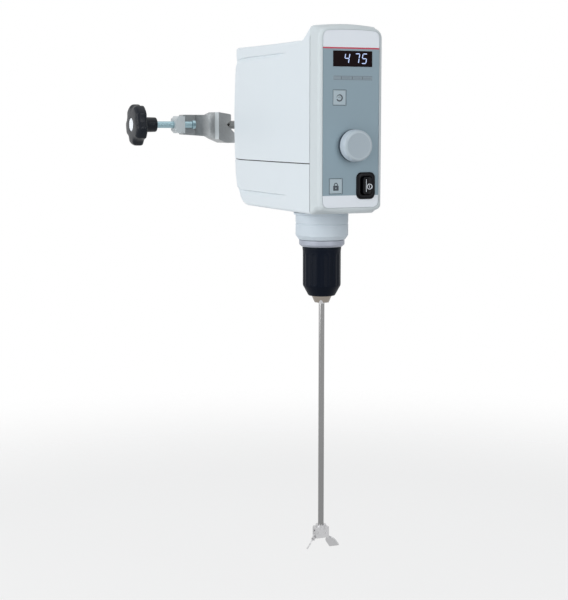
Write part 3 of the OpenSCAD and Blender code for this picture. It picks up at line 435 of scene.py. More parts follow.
def crownedOutline(top, low, topBow, lowBow, topCorner, lowCorner, inset):
    half = shellSizes["half"]
    topTurn = math.asin((half - topCorner) / (topBow - topCorner))
    lowTurn = math.asin((half - lowCorner) / (lowBow - lowCorner))
    topZ = top - topBow + (topBow - topCorner) * math.cos(topTurn)
    lowZ = low + lowBow - (lowBow - lowCorner) * math.cos(lowTurn)
    topTurn, lowTurn = math.degrees(topTurn), math.degrees(lowTurn)
    right = arcPoints(0.0, low + lowBow, lowBow - inset, -90.0, -90.0 + lowTurn, 5)[:-1]
    right += arcPoints(half - lowCorner, lowZ, max(lowCorner - inset, 0.05), -90.0 + lowTurn, 0.0, 7)
    right += arcPoints(half - topCorner, topZ, max(topCorner - inset, 0.05), 0.0, 90.0 - topTurn, 7)
    right += arcPoints(0.0, top - topBow, topBow - inset, 90.0 - topTurn, 90.0, 6)[1:]
    return right + [(-x, z) for x, z in reversed(right[1:-1])]


def shellRing(y, inset):
    s = shellSizes
    t = smooth((y - s["noseEnd"]) / 15.0)
    between = {key: s[key][0] + (s[key][1] - s[key][0]) * t for key in ("top", "low", "topCorner", "lowCorner")}
    bows = {key: 1.0 / ((1.0 - t) / s[key][0] + t / s[key][1]) for key in ("topBow", "lowBow")}
    top = s["top"][0] + (s["top"][1] - s["top"][0]) * smooth((y - s["noseEnd"]) / 10.5)
    if y > s["slopeTop"]:
        top = s["top"][1] - s["sweep"] + math.sqrt(s["sweep"] ** 2 - (y - s["slopeTop"]) ** 2)
    outline = crownedOutline(top, between["low"], bows["topBow"], bows["lowBow"], between["topCorner"],
                             between["lowCorner"], inset)
    return [(x, y, z) for x, z in outline]


def shellRings(inset):
    face, edge = shellSizes["face"], shellSizes["edge"]
    rings = []
    for k in range(9):
        angle = math.radians(11.25 * k)
        y = face + edge - (edge - inset) * math.cos(angle)
        ring = shellRing(shellSizes["noseEnd"], inset + (edge - inset) * (1.0 - math.sin(angle)))
        rings.append([(x, y, z) for x, _, z in ring])
    return rings + [shellRing(y, inset) for y in (-59.5, -57.5, -55.5, -53.5, -52, -51, -50, -49, -48, -47)]


outerRings = shellRings(0.0) + [shellRing(-46.4, 0.0), shellRing(-46.15, 0.03), shellRing(-45.95, 0.12)]
innerRings = shellRings(shellSizes["wall"]) + [shellRing(shellSizes["seam"], shellSizes["wall"])]
frontShell = ringSolid("frontShell", outerRings + list(reversed(innerRings)))

# membrane panel in the recess; its top edge follows the crown of the shell
panelSizes = {"half": 30.5, "top": 90.5, "low": -81.2, "corner": 6.0, "bow": 1.0, "front": -66.46, "back": -65.7,
              "redLow": 73.1, "redHigh": 74.6, "footer": -69.3}


def panelOutline(grow):
    s = panelSizes
    half, corner = s["half"] + grow, s["corner"] + grow
    flat = half - corner
    outline = arcPoints(-flat, s["low"] - grow + corner, corner, 180.0, 270.0, 6)
    outline += arcPoints(flat, s["low"] - grow + corner, corner, 270.0, 360.0, 6)
    outline += arcPoints(flat, s["top"] + grow - corner, corner, 0.0, 86.0, 6)
    outline += [(flat * f, s["top"] + grow + s["bow"] * (1.0 - f * f))
                for f in (0.9, 0.7, 0.45, 0.15, -0.15, -0.45, -0.7, -0.9)]
    return outline + arcPoints(-flat, s["top"] + grow - corner, corner, 94.0, 180.0, 6)


windowSizes = {"x": 1.5, "z": 63.6, "w": 42.6, "h": 15.3}
dialSizes = {"x": 2.0, "z": -20.4, "seat": -66.9, "foot": 16.0, "top": 15.1, "rim": 2.4, "height": 13.6,
             "bore": 3.02, "groove": 2.9, "side": 1.5, "face": 12.4}
keySizes = {"places": ((-12.6, 26.1), (-16.2, -60.0)), "w": 13.7, "h": 14.4}
switchSizes = {"x": 16.3, "z": -59.9, "w": 20.5, "h": 26.6}


def openingCutters(front, back, grow):  # grow: of the window and the keys, then the switch's width and height
    w, d, k, q = windowSizes, dialSizes, keySizes, switchSizes
    dialHole = [(d["x"] + px, d["z"] + pz) for px, pz in arcPoints(0, 0, 4.6, 0, 360 - 360 / 32, 31)]
    outlines = [rectangle(w["x"], w["z"], w["w"] + grow[0], w["h"] + grow[0], 0.5, 2), dialHole]
    outlines += [rectangle(x, z, k["w"] + grow[1], k["h"] + grow[1], 0.4, 2) for x, z in k["places"]]
    outlines.append(rectangle(q["x"], q["z"], grow[2], grow[3], 1.0, 2))
    return [plate("cutter%d" % i, outline, front, back) for i, outline in enumerate(outlines)]


carve(frontShell, [plate("recess", panelOutline(0.32), -68.0, -65.65)])
carve(frontShell, openingCutters(-68.0, -60.0, (-1.2, 0.6, 17.0, 23.0)))
dress(frontShell, "shellHousing", "head", ("front_shell",))
# a dark strip set into the seam's gap: painted shade of the gap
seamShadeStrip = ringSolid("seamShadeStrip", [shellRing(y, inset) for y, inset in (
    (-45.86, 0.9), (-45.14, 0.9), (-45.14, 2.2), (-45.86, 2.2))], loop=True)
dress(seamShadeStrip, "sealRubberAndGapShade", "head")

membrane = plate("membranePanel", panelOutline(-0.1), panelSizes["front"], panelSizes["back"])
zoned = bmesh.new()
zoned.from_mesh(membrane.data)
for cutZ in (panelSizes["footer"], panelSizes["redLow"], panelSizes["redHigh"]):
    bmesh.ops.bisect_plane(zoned, geom=zoned.verts[:] + zoned.edges[:] + zoned.faces[:], dist=1e-7,
                           plane_co=atHead(0, 0, cutZ), plane_no=(0, 0, 1))
zoned.to_mesh(membrane.data)
zoned.free()
carve(membrane, openingCutters(-68.0, -64.0, (0.0, 0.4, 18.2, 24.2)))


def membraneZone(face):
    height = face.center.z / millimetre
    if panelSizes["redLow"] < height < panelSizes["redHigh"]:
        return 2
    return 1 if height > panelSizes["redHigh"] or height < panelSizes["footer"] else 0


paint(membrane, ("printedMembrane", "whitePrint", "redPrint"), membraneZone)
dress(membrane, "printedMembrane", "head", ("membrane_panel",))
print("front shell and membrane built")

# prints on the membrane: torque bar, key outlines and key marks
printFront, printBack, overBar = -66.53, -66.44, -66.48
barSizes = {"left": -19.5, "right": 22.9, "low": 43.1, "high": 47.2, "middle": 45.1, "ticks": (-10.7, 1.2, 12.2),
            "line": 0.4, "tick": 1.3, "front": -66.5}
left, right, low, high = (barSizes[key] for key in ("left", "right", "low", "high"))
bar = plate("torqueBar", [(left, low), (right, low), (right, high), (left, high)], barSizes["front"], printBack)
dress(bar, "barPrint", "head")
line, middle = barSizes["line"], barSizes["middle"]
marks = [stroke("barEdge", [(left + 1.0, z), (right, z)], line, printFront, overBar) for z in (low + 0.3, high - 0.3)]
marks += [stroke("barTick", [(x, 43.9), (x, 46.4)], barSizes["tick"], printFront - 0.02, overBar)
          for x in barSizes["ticks"]]
marks += [stroke("barDash", [(x + 1.6, middle), (x + 9.0, middle)], line, printFront, overBar)
          for x in barSizes["ticks"]]
for x, z in keySizes["places"]:
    outer, inner = (rectangle(x, z, keySizes["w"] + grow, keySizes["h"] + grow, corner, 3)
                    for grow, corner in ((1.2, 0.6), (0.5, 0.3)))
    marks.append(framed("keyOutline", outer, inner, printFront, printBack))
dress(gather(marks[0], marks[1:], "panelPrints"), "linePrint", "head")

markDepth, turnCentre = (-66.52, -66.42), (-12.75, 25.8)
turnWidths = [0.35 + 1.0 * smooth(i / 12) * smooth((34 - i) / 8) for i in range(31)]  # swells like an arrow
turnMark = stroke("timerMark", arcPoints(*turnCentre, 2.95, 172.0, -158.0, 30), turnWidths, *markDepth)
hand = stroke("hand", [(-14.0, 26.2)] + arcPoints(*turnCentre, 0.9, 120.0, 0.0, 5), 0.4, *markDepth)
dress(gather(turnMark, [hand]), "darkPrint", "timer_key")
shackle = stroke("lockMark", [(-17.8, -59.6)] + arcPoints(-16.1, -58.7, 1.7, 180, 0, 10) + [(-14.4, -59.6)], 0.9,
                 *markDepth)
lockBody, keyhole = rectangle(-16.1, -61.9, 5.9, 5.0, 0.5, 2), rectangle(-16.1, -61.9, 0.8, 1.5, 0.3, 2)
dress(gather(shackle, [framed("lockPlate", lockBody, keyhole, *markDepth)]), "darkPrint", "lock_key")
for node, body in (("key_timer", "timer_key"), ("key_lock", "lock_key")):
    bevelledCopy(node, "keyFilm", body, 0.18)

# display: smoked window with the lit number in front
w = windowSizes
window = ringSolid("displayWindow", [
    facing(rectangle(w["x"], w["z"], w["w"] - 0.2 - trim, w["h"] - 0.2 - trim, 0.5, 2), y)
    for trim, y in ((0.0, -65.7), (0.0, -66.4), (0.5, -66.6))])
dress(window, "smokedWindow", "head", ("display_window",))
digitSizes = {"w": 4.6, "h": 9.2, "t": 0.86, "lean": 0.17, "low": 59.3, "front": -66.7, "back": -66.58}
segmentEnds = {"top": ((0, 1), (1, 1)), "topRight": ((1, 1), (1, 0.5)), "lowRight": ((1, 0.5), (1, 0)),
               "low": ((0, 0), (1, 0)), "topLeft": ((0, 1), (0, 0.5)), "middle": ((0, 0.5), (1, 0.5))}
shownDigits = {4: ("topLeft", "middle", "topRight", "lowRight"), 7: ("top", "topRight", "lowRight"),
               5: ("top", "topLeft", "middle", "lowRight", "low")}
segments = []
for digit, left in ((4, -7.9), (7, 2.9), (5, 11.0)):
    for segment in shownDigits[digit]:
        a, b = (Vector((px * digitSizes["w"], pz * digitSizes["h"])) for px, pz in segmentEnds[segment])
        along = (b - a).normalized()
        half, gap = digitSizes["t"] / 2, 0.12
        side, tip, shoulder = Vector((-along.y, along.x)) * half, along * gap, along * (gap + half)
        hexagon = [a + tip, a + shoulder + side, b - shoulder + side, b - tip, b - shoulder - side, a + shoulder - side]
        outline = rounded([tuple(p) for p in hexagon], 0.35, 2)
        outline = [(left + px + digitSizes["lean"] * pz, digitSizes["low"] + pz) for px, pz in outline]
        segments.append(plate("segment", outline, digitSizes["front"], digitSizes["back"]))
dress(gather(segments[0], segments[1:], "litNumber"), "litSegment", "head")
print("prints, keys and display built")

# speed dial and power switch
d = dialSizes


def atDial(x, y, h):  # height h stands out of the panel towards the front
    return atHead(d["x"] + x, d["seat"] - h, d["z"] + y)


dialProfile = [(0.0, 7.0), (d["bore"], 7.0), (d["bore"], 0.2), (5.4, 0.2), (5.4, 5.0), (14.0, 5.0), (14.0, 0.2),
               (14.6, 0.0), (15.4, 0.15), (15.85, 0.6), (15.9, 2.2), (15.3, 2.7), (15.25, 3.2), (15.8, 3.6),
               (15.75, 4.2), (d["foot"] - 0.45, 7.0)]
dialProfile += arcPoints(d["top"] - d["rim"], d["height"] - d["rim"], d["rim"], 0.0, 90.0, 8)
dialProfile += [(12.3, d["height"]), (11.7, d["height"] - 0.12), (0.0, d["height"] - 0.12)]
dial = turned("speedDial", dialProfile, 96, atDial)


def dialZone(face):  # side, face, rim, or the band at the foot, which is painted dark as the shade in the gap under the dial
    offset = (face.center - atDial(0.0, 0.0, d["height"])) / millimetre
    if offset.y > d["height"] - d["groove"]:
        return 3
    # the side's paler grey and the rim's mid grey are partly two-tone plastic, partly painted light
    return 0 if offset.y > d["side"] else 1 if math.hypot(offset.x, offset.z) < d["face"] else 2


paint(dial, ("dialSidePaleAndLit", "dialFace", "dialRimHalfLit", "dialFootShade"), dialZone)
dress(dial, "dialSidePaleAndLit", "dial", ("speed_dial",), 40.0)


def switchRing(halfW, halfH, corner, y):
    return facing(rectangle(switchSizes["x"], switchSizes["z"], 2 * halfW, 2 * halfH, corner, 8), y)


switchFrame = ringSolid("switchFrame", [switchRing(*spec) for spec in (
    (6.3, 9.3, 3.5, -55.5), (6.3, 9.3, 3.5, -67.9), (6.5, 9.5, 3.6, -68.4), (7.1, 10.1, 3.9, -68.68),
    (8.2, 11.2, 4.5, -68.6), (9.2, 12.25, 5.0, -68.3), (9.85, 12.9, 5.3, -67.85), (10.25, 13.3, 5.5, -67.1),
    (10.25, 13.3, 5.5, -66.5), (8.3, 11.3, 1.0, -66.5), (8.3, 11.3, 1.0, -49.5))])
dress(switchFrame, "switchBlack", "head", ("switch_frame",), 40.0)
bevelledCopy("power_rocker", "switchBlack", "rocker", 0.45)


rockerSizes = {"axis": -63.1, "lean": 9.0, "hollow": 12.0, "centre": -17.4}


def onRocker(x, h, z):  # a place on the hollow face of the rocker, h in front of it
    y = rockerSizes["centre"] + math.sqrt(rockerSizes["hollow"] ** 2 - x * x) - h
    lean = math.radians(rockerSizes["lean"])
    return atHead(switchSizes["x"] + x * math.cos(lean) - y * math.sin(lean),
                  rockerSizes["axis"] + x * math.sin(lean) + y * math.cos(lean), switchSizes["z"] + z)


def section(low, high):  # the cross-section of a printed line on the rocker
    return (low, 0.14), (high, 0.14), (high, -0.1), (low, -0.1)


onMark = ringSolid("onMark", [[(x, h, z) for x, h in section(-1.35, -0.65)] for z in (-6.2, -3.0, 0.0, 3.0, 6.2)],
                   onRocker)
turns = [2 * math.pi * k / 28 for k in range(28)]
offMark = ringSolid("offMark", [[(2.7 + radius * math.cos(turn), h, -0.9 + radius * math.sin(turn))
                                 for radius, h in section(2.85, 2.15)] for turn in turns], onRocker, loop=True)
offBar = ringSolid("offBar", [[(x, h, z) for x, h in section(2.45, 2.95)] for z in (-2.1, 0.3)], onRocker)
dress(gather(onMark, [offMark, offBar], "switchMarks"), "whitePrint", "rocker")
print("dial and switch built")

# rear cover and lower case: one pillow-edged form with a raised middle, parted along a level line
bodySizes = {"half": 35.0, "taper": 2.4, "taperFrom": 16.0, "taperRun": 142.0, "seam": -45.05, "parting": -38.5,
             "gap": 0.5, "wall": 2.4, "rearBow": 387.0, "rear": 166.0, "top": 83.0, "topRise": 1.6, "low": -88.5,
             "crown": 350.0, "crownRun": 14.8, "sweep": 16.0, "rearTop": 3.2, "heel": 38.0, "lip": 0.16,
             "lipReach": 0.45, "topFillet": 3.0, "rearFillet": 2.9, "sideFillet": 8.0, "lowFillet": 3.2}
ledgeSizes = {"top": 73.0, "low": -71.4, "turn": 96.0, "turnAt": 130.0, "ramp": 5.0, "step": 1.2, "rise": 1.4,
              "groove": 1.5, "start": 8.0, "fadeIn": 26.0, "end": 138.0, "fadeOut": 14.0}
turnCentres = {"crest": (-51.0, 81.8), "scoop": (-21.0, 99.0), "rearTop": (154.3, 79.8), "heel": (124.33, -50.5)}
slopeSizes = {"lean": 26.26, "from": (-43.92, 96.15), "run": (15.84, 11.5)}
# where the points of the skin lie: closer together at the ledges and beside the seams
skinSteps = {"across": (0.0, 0.3, 0.6, 0.82, 1.0), "turns": 6, "along": [-36, -20, 0, 20, 40, 60, 80, 100, 120, 140],
             "coverLevels": [-30, -15, 0, 15, 30, 45, 60, 75, 85], "caseLevels": [-42, -50, -60, -70, -80],
             "ledgeOffsets": (0.1, -0.1, -0.35, -0.6, -0.85, -1.15, -1.5, -2.2, -3.2, -4.6, -6.3),
             "ledgeFrom": 10.0, "ledgeStep": 3.25, "ledgeCount": 49, "seamDepths": (0.15, 0.45),
             "columns": list(range(-36, 8, 12)) + list(range(6, 50, 4)) + list(range(54, 160, 12)),
             "rows": range(-84, 96, 12), "shift": 6, "clear": 4.0, "rearFrom": 120, "rearLevels": (68, -66),
             "rearClear": 8.0}
bowBack = bodySizes["rear"] - bodySizes["rearBow"]


def lipDrop(y, z):  # tiny rounding of the edges beside the seam and the parting line
    reach = bodySizes["lipReach"]
    fromSeam = max(0.0, 1.0 - (y - bodySizes["seam"]) / reach)
    fromParting = max(0.0, 1.0 - (abs(z - bodySizes["parting"]) - bodySizes["gap"]) / reach)
    return bodySizes["lip"] * (fromSeam ** 2 + fromParting ** 2)


def ledgeDrop(y):  # how far the ledges have turned towards each other at y
    turn = ledgeSizes["turn"]
    back = min(max(0.0, y - ledgeSizes["turnAt"]), turn - 1.0)
    return turn - math.sqrt(turn ** 2 - back ** 2)


def halfWidthAt(y, z):  # the side wall: tapered to the rear, raised between the ledges, with a groove at each
    s, drop = ledgeSizes, ledgeDrop(y)
    ramp, step = s["ramp"], s["step"]
    band = bodySizes["half"] - bodySizes["taper"] * max(0.0, y - bodySizes["taperFrom"]) / bodySizes["taperRun"]
    middle = band + s["rise"] * smooth((y - 10.0) / 34.0)
    below = s["top"] - drop - z  # both ledges have their steep face below the line
    under = s["low"] + drop - z
    raised = smooth((below - step) / ramp) * (1.0 - smooth(under / step))
    cut = 0.0
    for depth in (below, under):
        cut += smooth(depth / step) if depth < step else 1.0 - smooth((depth - step) / ramp)
    along = smooth((y - s["start"]) / s["fadeIn"]) * (1.0 - smooth((y - s["end"]) / s["fadeOut"]))
    return band + (middle - band) * raised - s["groove"] * cut * along


def outlinePoints():  # (y, z, normal y, normal z, fillet) from the seam over the top and rear to the seam again
    points = []
    fillet, side, low = (bodySizes[key] for key in ("topFillet", "sideFillet", "lowFillet"))

    def bend(centre, lift, radius, angle, fillet):  # a point of a round corner; its angle runs up from the rear
        c, s = math.cos(math.radians(angle)), math.sin(math.radians(angle))
        points.append((centre[0] + radius * c, centre[1] + lift + radius * s, c, s, fillet))

    def curve(centre, radius, angle):  # a point of the nose or of the scoop behind it; its angle leans from upright
        n = math.radians(angle)
        points.append((centre[0] + radius * math.sin(n), centre[1] + radius * math.cos(n), math.sin(n), math.cos(n),
                       fillet))

    for angle in (20.76, 20.76 + 0.55, 20.76 + 1.64, 24.0, slopeSizes["lean"]):
        curve(turnCentres["crest"], bodySizes["sweep"], angle)
    lean = math.radians(slopeSizes["lean"])
    for f in (0.25, 0.5, 0.75):
        (y, z), (back, down) = slopeSizes["from"], slopeSizes["run"]
        points.append((y + back * f, z - down * f, math.sin(lean) * 1.32, math.cos(lean) * 0.9, fillet))
    for angle in (slopeSizes["lean"], 21.0, 16.0, 11.0, 6.0, 0.0):
        curve(turnCentres["scoop"], -bodySizes["sweep"], angle)
    for y in (-10, 0, 8, 16, 26, 36, 48, 60, 72, 84, 96, 108, 120, 130, 138, 145, 150):
        rise = bodySizes["topRise"] * smooth((y + 10.0) / 320.0) * 2.0
        points.append((y, bodySizes["top"] + rise, 0.0, 1.0, fillet))
    for angle in (90, 77, 64, 51, 38, 25, 12.0):
        bend(turnCentres["rearTop"], bodySizes["topRise"], bodySizes["rearTop"], angle, bodySizes["rearFillet"])
    for z in (80.6, 79, 77.5, 76, 74, 72, 70, 68.5, 67.6, 67.1, 66.8, 66.5, 66.2, 65.9, 65.6, 65.3, 65.0, 64.5, 63.5,
              61, 57, 50, 42, 34, 24, 12, 0, -12, -22, -30, -35.5, -37.4, -37.7, -37.86, -38.0, -39.0, -39.14, -39.3,
              -39.6, -41, -44, -50, -54):
        n = math.asin(z / bodySizes["rearBow"])
        points.append((bowBack + bodySizes["rearBow"] * math.cos(n), z, math.cos(n), math.sin(n),
                       fillet + (side - fillet) * smooth((79.0 - z) / 12.0)))
    angle = -8.32
    while angle > -90.5:
        bend(turnCentres["heel"], 0.0, bodySizes["heel"], max(angle, -90.0),
             side - (side - low) * smooth((-20.0 - angle) / 50.0))
        angle -= 0.6 if -44.0 < angle < -22.0 else 3.0  # closer together where the lower ledge runs out
    rows = (115, 104, 92, 80, 68, 56, 46, 36, 26, 16, 8, -4, -16, -28, -38, -43, -44.6, -44.86, bodySizes["seam"])
    return points + [(y, bodySizes["low"], 0.0, -1.0, low) for y in rows]


def bodyHalf(name, outline, isCover):  # the round top, rear and underside first, then the side wall inside their rim
    crown, turns, rows = bodySizes["crown"], skinSteps["turns"], []
    for y, z, ny, nz, fillet in outline:
        size = math.hypot(ny, nz)
        ny, nz = ny / size, nz / size
        weight = max(0.0, min(1.0, (z - bodySizes["top"]) / bodySizes["crownRun"]))
        reach = halfWidthAt(y, z) - fillet
        row = []
        for f in skinSteps["across"]:
            sink = weight * (reach * f) ** 2 / (2.0 * crown) + lipDrop(y, z)
            row.append((reach * f, y - ny * sink, z - nz * sink))
        sink = weight * reach ** 2 / (2.0 * crown)
        for k in range(1, turns + 1):
            angle = math.radians(90.0 * k / turns)
            inward = sink + fillet * (1.0 - math.cos(angle))
            py, pz = y - ny * inward, z - nz * inward
            lip = lipDrop(y, z)
            row.append((halfWidthAt(py, pz) - fillet * (1.0 - math.sin(angle)) - lip * math.sin(angle),
                        py - ny * lip * math.cos(angle), pz - nz * lip * math.cos(angle)))
        rows.append(row)
    width = len(rows[0])
    points = [p for row in rows for p in row]
    corners = [i * width + j for i in range(len(rows) - 1) for j in range(width - 1)]
    faces = [(a, a + 1, a + width + 1, a + width) for a in corners]
    rim = [i * width + width - 1 for i in range(len(rows))]
    edge = [Vector((points[i][1], points[i][2])) for i in rim]
    side = 1.0 if isCover else -1.0
    cut = bodySizes["parting"] + bodySizes["gap"] * side
    seam = bodySizes["seam"]
    along = skinSteps["along"]
    levels = skinSteps["coverLevels"] if isCover else skinSteps["caseLevels"]
    partingWay = [Vector((y, cut)) for y in [seam, -44.6] + along]
    seamWay = [Vector((seam, z)) for z in levels]
    loop = edge + (partingWay[::-1] + seamWay if isCover else seamWay[::-1] + partingWay)
    count = len(loop)

    def farEnough(p, margin):  # inside the rim and at least the margin away from it
        hits = 0
        for i in range(count):
            a, b = loop[i], loop[(i + 1) % count]
            ab = b - a
            t = max(0.0, min(1.0, (p - a).dot(ab) / max(ab.length_squared, 1e-9)))
            if (a + ab * t - p).length < margin:
                return False
            if (a.y > p.y) != (b.y > p.y) and p.x < a.x + (p.y - a.y) / (b.y - a.y) * ab.x:
                hits += 1
        return hits % 2 == 1

    extra, lines = [], []

    def addLine(path, margin):
        before = None
        for p in path:
            if farEnough(p, margin):
                extra.append(p)
                here = count + len(extra) - 1
                if before is not None:
                    lines.append((before, here))
                before = here
            else:
                before = None

    for offset in skinSteps["ledgeOffsets"]:
        stations = [skinSteps["ledgeFrom"] + skinSteps["ledgeStep"] * i for i in range(skinSteps["ledgeCount"])]
        ledge = ledgeSizes["top"] if isCover else ledgeSizes["low"]
        addLine([Vector((y, ledge - side * ledgeDrop(y) + offset)) for y in stations], 0.25)
    for depth in skinSteps["seamDepths"]:
        z = cut + side * depth
        addLine([Vector((y, z)) for y in [seam + depth] + along], 0.1)
        addLine([Vector((seam + depth, v)) for v in [z] + levels], 0.1)
    clear = skinSteps["clear"]
    for gy in skinSteps["columns"]:
        for gz in skinSteps["rows"]:
            isShifted = gz // skinSteps["rows"].step % 2  # every second row is set over
            p = Vector((gy + skinSteps["shift"] * isShifted, gz))
            nearLedge = min(abs(p.y - ledgeSizes[key]) for key in ("top", "low")) <= clear
            nearBend = p.x > skinSteps["rearFrom"] and min(
                abs(p.y - level) for level in skinSteps["rearLevels"]) < skinSteps["rearClear"]
            if farEnough(p, clear) and not nearLedge and not nearBend:
                extra.append(p)
    spots, _, triangles, origin, _, _ = delaunay_2d_cdt(loop + extra, lines, [list(range(count))], 1, 1e-6)
    offset = len(points)
    for k, spot in enumerate(spots):
        source = [points[rim[i]] for i in origin[k] if i < len(edge)]
        width = halfWidthAt(spot.x, spot.y) - lipDrop(spot.x, spot.y)
        points.append(source[0] if source else (width, spot.x, spot.y))
    faces += [tuple(offset + i for i in triangle) for triangle in triangles]
    total = len(points)
    points += [(-x, y, z) for x, y, z in points]
    faces += [tuple(total + i for i in reversed(face)) for face in faces]
    shell = makePiece(name, points, faces)
    outside = max(shell.data.polygons, key=lambda face: face.center.x)
    if outside.normal.x < 0.0:
        shell.data.flip_normals()
    thicken = shell.modifiers.new("wall", "SOLIDIFY")
    thicken.thickness = bodySizes["wall"] * millimetre
    thicken.offset = -1.0
    thicken.use_rim = True
    thicken.use_even_offset = True
    thicken.use_quality_normals = True
    settle(shell)
    return shell


outline = outlinePoints()
rearCover = bodyHalf("rearCover", [p for p in outline if p[1] > bodySizes["parting"]], True)
lowerCase = bodyHalf("lowerCase", [p for p in outline if p[1] < bodySizes["parting"]], False)
print("case halves built")

rearOutlines = [rectangle(6.0 * i, 53.0, 2.4, 26.0, 1.15, 4) for i in range(-3, 4)]
rearOutlines.append(arcPoints(0, 0, 11.0, 0, 360 - 360 / 48, 47))
carve(rearCover, [plate("rearHole", outline, 148.0, 172.0) for outline in rearOutlines])
partingSizes = {"level": -34.0, "corner": 8.0, "cornerFrom": 156.0, "cornerY": 156.4, "rear": 164.3}
sectionLevel, cornerRadius = partingSizes["level"], partingSizes["corner"]
sectionPath = [(halfWidthAt(y, sectionLevel), y, 1.0, 0.0) for y in (-40.5, -20, 0, 20, 40, 60, 80, 100, 120, 140, 152)]
for a in range(0, 91, 15):
    nx, ny = math.cos(math.radians(a)), math.sin(math.radians(a))
    sectionPath.append((halfWidthAt(partingSizes["cornerFrom"], sectionLevel) - cornerRadius + cornerRadius * nx,
                        partingSizes["cornerY"] + cornerRadius * ny, nx, ny))
sectionPath += [(x, partingSizes["rear"], 0.0, 1.0) for x in (16.0, 0.0)]
sectionPath += [(-x, y, -nx, ny) for x, y, nx, ny in reversed(sectionPath[:-1])]


def strip(name, section):  # a strip along the parting line with its section in (inset, z)
    return ringSolid(name, [[(x - nx * inset, y - ny * inset, z) for inset, z in section]
                            for x, y, nx, ny in sectionPath])


gather(rearCover, [strip("coverLip", ((2.45, -40.5), (2.3, -35.5), (3.8, -35.5), (3.8, -40.5)))])
dress(rearCover, "satinHousing", "head", ("rear_cover",))
# a dark strip set into the parting line's gap: painted shade of the gap
partingShadeStrip = strip("partingShadeStrip", ((1.0, -38.92), (1.0, -38.08), (2.28, -38.08), (2.28, -38.92)))
dress(partingShadeStrip, "sealRubberAndGapShade", "head")

inletSizes = {"z": -57.0, "y": 162.97, "hole": (27.4, 19.8), "flange": (31.2, 24.2), "pad": (35.0, 28.0),
              "padFront": 159.37, "padBack": 162.95}
caseScrewProfile = [(0.0, -87.4), (1.1, -87.6), (1.1, -88.3), (2.3, -88.42), (2.9, -88.0), (3.0, -87.5),
                    (3.0, -86.45), (1.7, -86.45), (1.7, -61.2), (1.2, -60.6), (0.0, -60.6)]
pillarPlaces = [headAt(x, y) for x in (-25.0, 25.0) for y in (-34.0, 118.0)]
collarScrewPlaces = [headAt(23.5 * math.cos(math.radians(a)), 23.5 * math.sin(math.radians(a))) for a in (30, 150, 270)]


def hole(radius, low, high, steps, place=atHead):  # a round cutter
    return turned("hole", [(0.0, low), (radius, low), (radius, high), (0.0, high)], steps, place)


def inletOutline(key, corner, steps):
    return rectangle(0, inletSizes["z"], *inletSizes[key], corner, steps)


caseCutters = [hole(20.45, -92.0, -80.0, 64), plate("inletHole", inletOutline("hole", 0.6, 2), 140.0, 175.0),
               plate("inletSeat", inletOutline("flange", 3.0, 4), inletSizes["y"], 175.0)]
caseCutters += [hole(3.3, -92.0, -84.0, 32, place) for place in pillarPlaces]
caseCutters += [hole(1.35, -92.0, -84.0, 20, place) for place in collarScrewPlaces]
carve(lowerCase, caseCutters)
pillars = [turned("pillar", [(1.75, -86.4), (4.5, -86.4), (4.5, -66.0), (1.75, -66.0)], 32, place)
           for place in pillarPlaces]
inletPad = framed("inletPad", inletOutline("pad", 0.5, 2), inletOutline("hole", 0.5, 2), inletSizes["padBack"],
                  inletSizes["padFront"])
gather(lowerCase, pillars + [inletPad])
dress(lowerCase, "satinHousing", "head", ("lower_case",))
screws = [turned("caseScrew", caseScrewProfile, 32, place) for place in pillarPlaces]
dress(gather(screws[0], screws[1:]), "turnedSteel", "head", ("case_screws",))
print("rear cover and lower case built")

# neck collar, chuck ring and fluted grip sleeve
collarProfile = [(20.4, -86.3), (20.4, -88.5), (25.2, -88.5), (25.2, -89.5), (27.8, -89.5), (28.1, -89.8),
                 (28.1, -91.3), (27.9, -91.7), (27.5, -92.0), (27.2, -92.2), (27.2, -100.2), (26.8, -100.5),
                 (26.8, -101.4), (27.2, -101.7), (27.2, -112.6), *arcPoints(26.1, -112.7, 1.1, 0.0, -50.0, 3)[1:],
                 (24.4, -116.9), (24.0, -117.3), (9.0, -117.3), (9.0, -113.0), (13.0, -113.0), (13.0, -106.0),
                 (17.5, -106.0), (17.5, -86.3)]


def atCollar(x, y, z):  # the flange sits a little back and to the left of the collar
    shift = 1.0 if z > -91.8 and math.hypot(x, y) > 25.0 else 0.0
    return atHead(x - 0.92 * shift, y + 0.4 * shift, z)


collar = turned("neckCollar", collarProfile, 96, atCollar)
carve(collar, [hole(1.35, -97.2, -80.0, 20, place) for place in collarScrewPlaces])
dress(collar, "collarPaint", "head", ("neck_collar",))

ringProfile = [(6.0, -117.7), (22.7, -117.7), (23.3, -117.95), (23.5, -118.5), (23.5, -122.2), (23.3, -122.7),
               (21.5, -124.4), (21.0, -124.7), (6.0, -124.7)]
chuckRing = turned("chuckRing", ringProfile, 96)
dress(chuckRing, "satinRing", "spindle_line", ("chuck_ring",))

sleeveSizes = {"grip": 19.7, "flute": 12.2, "depth": 0.4, "from": -134.0, "to": -164.0, "count": 18, "steps": 288}
sleeveLine = [(19.6, -125.0), (20.0, -125.25), (20.1, -125.7), (20.05, -127.0), (19.98, -127.8), (19.85, -128.6),
              (19.75, -129.5), (19.7, -130.6), *((19.7, -130.6 - 0.72 * k) for k in range(1, 47)), (19.66, -164.4),
              (19.5, -165.2), (19.2, -166.0), (17.6, -168.8), (16.1, -171.6), (14.7, -174.2), (14.2, -175.0),
              (13.9, -175.5), (13.4, -175.8)]
sleeveInside = [(12.0, -175.8), (12.0, -172.3), (16.4, -161.0), (16.4, -145.5), (17.4, -145.5), (17.4, -139.5),
                (16.4, -139.5), (16.4, -125.0)]


def softMin(a, b, blend):  # the smaller of two values, with a soft turn from one to the other
    h = max(0.0, min(1.0, 0.5 + 0.5 * (a - b) / blend))
    return a * (1 - h) + b * h - blend * h * (1 - h)


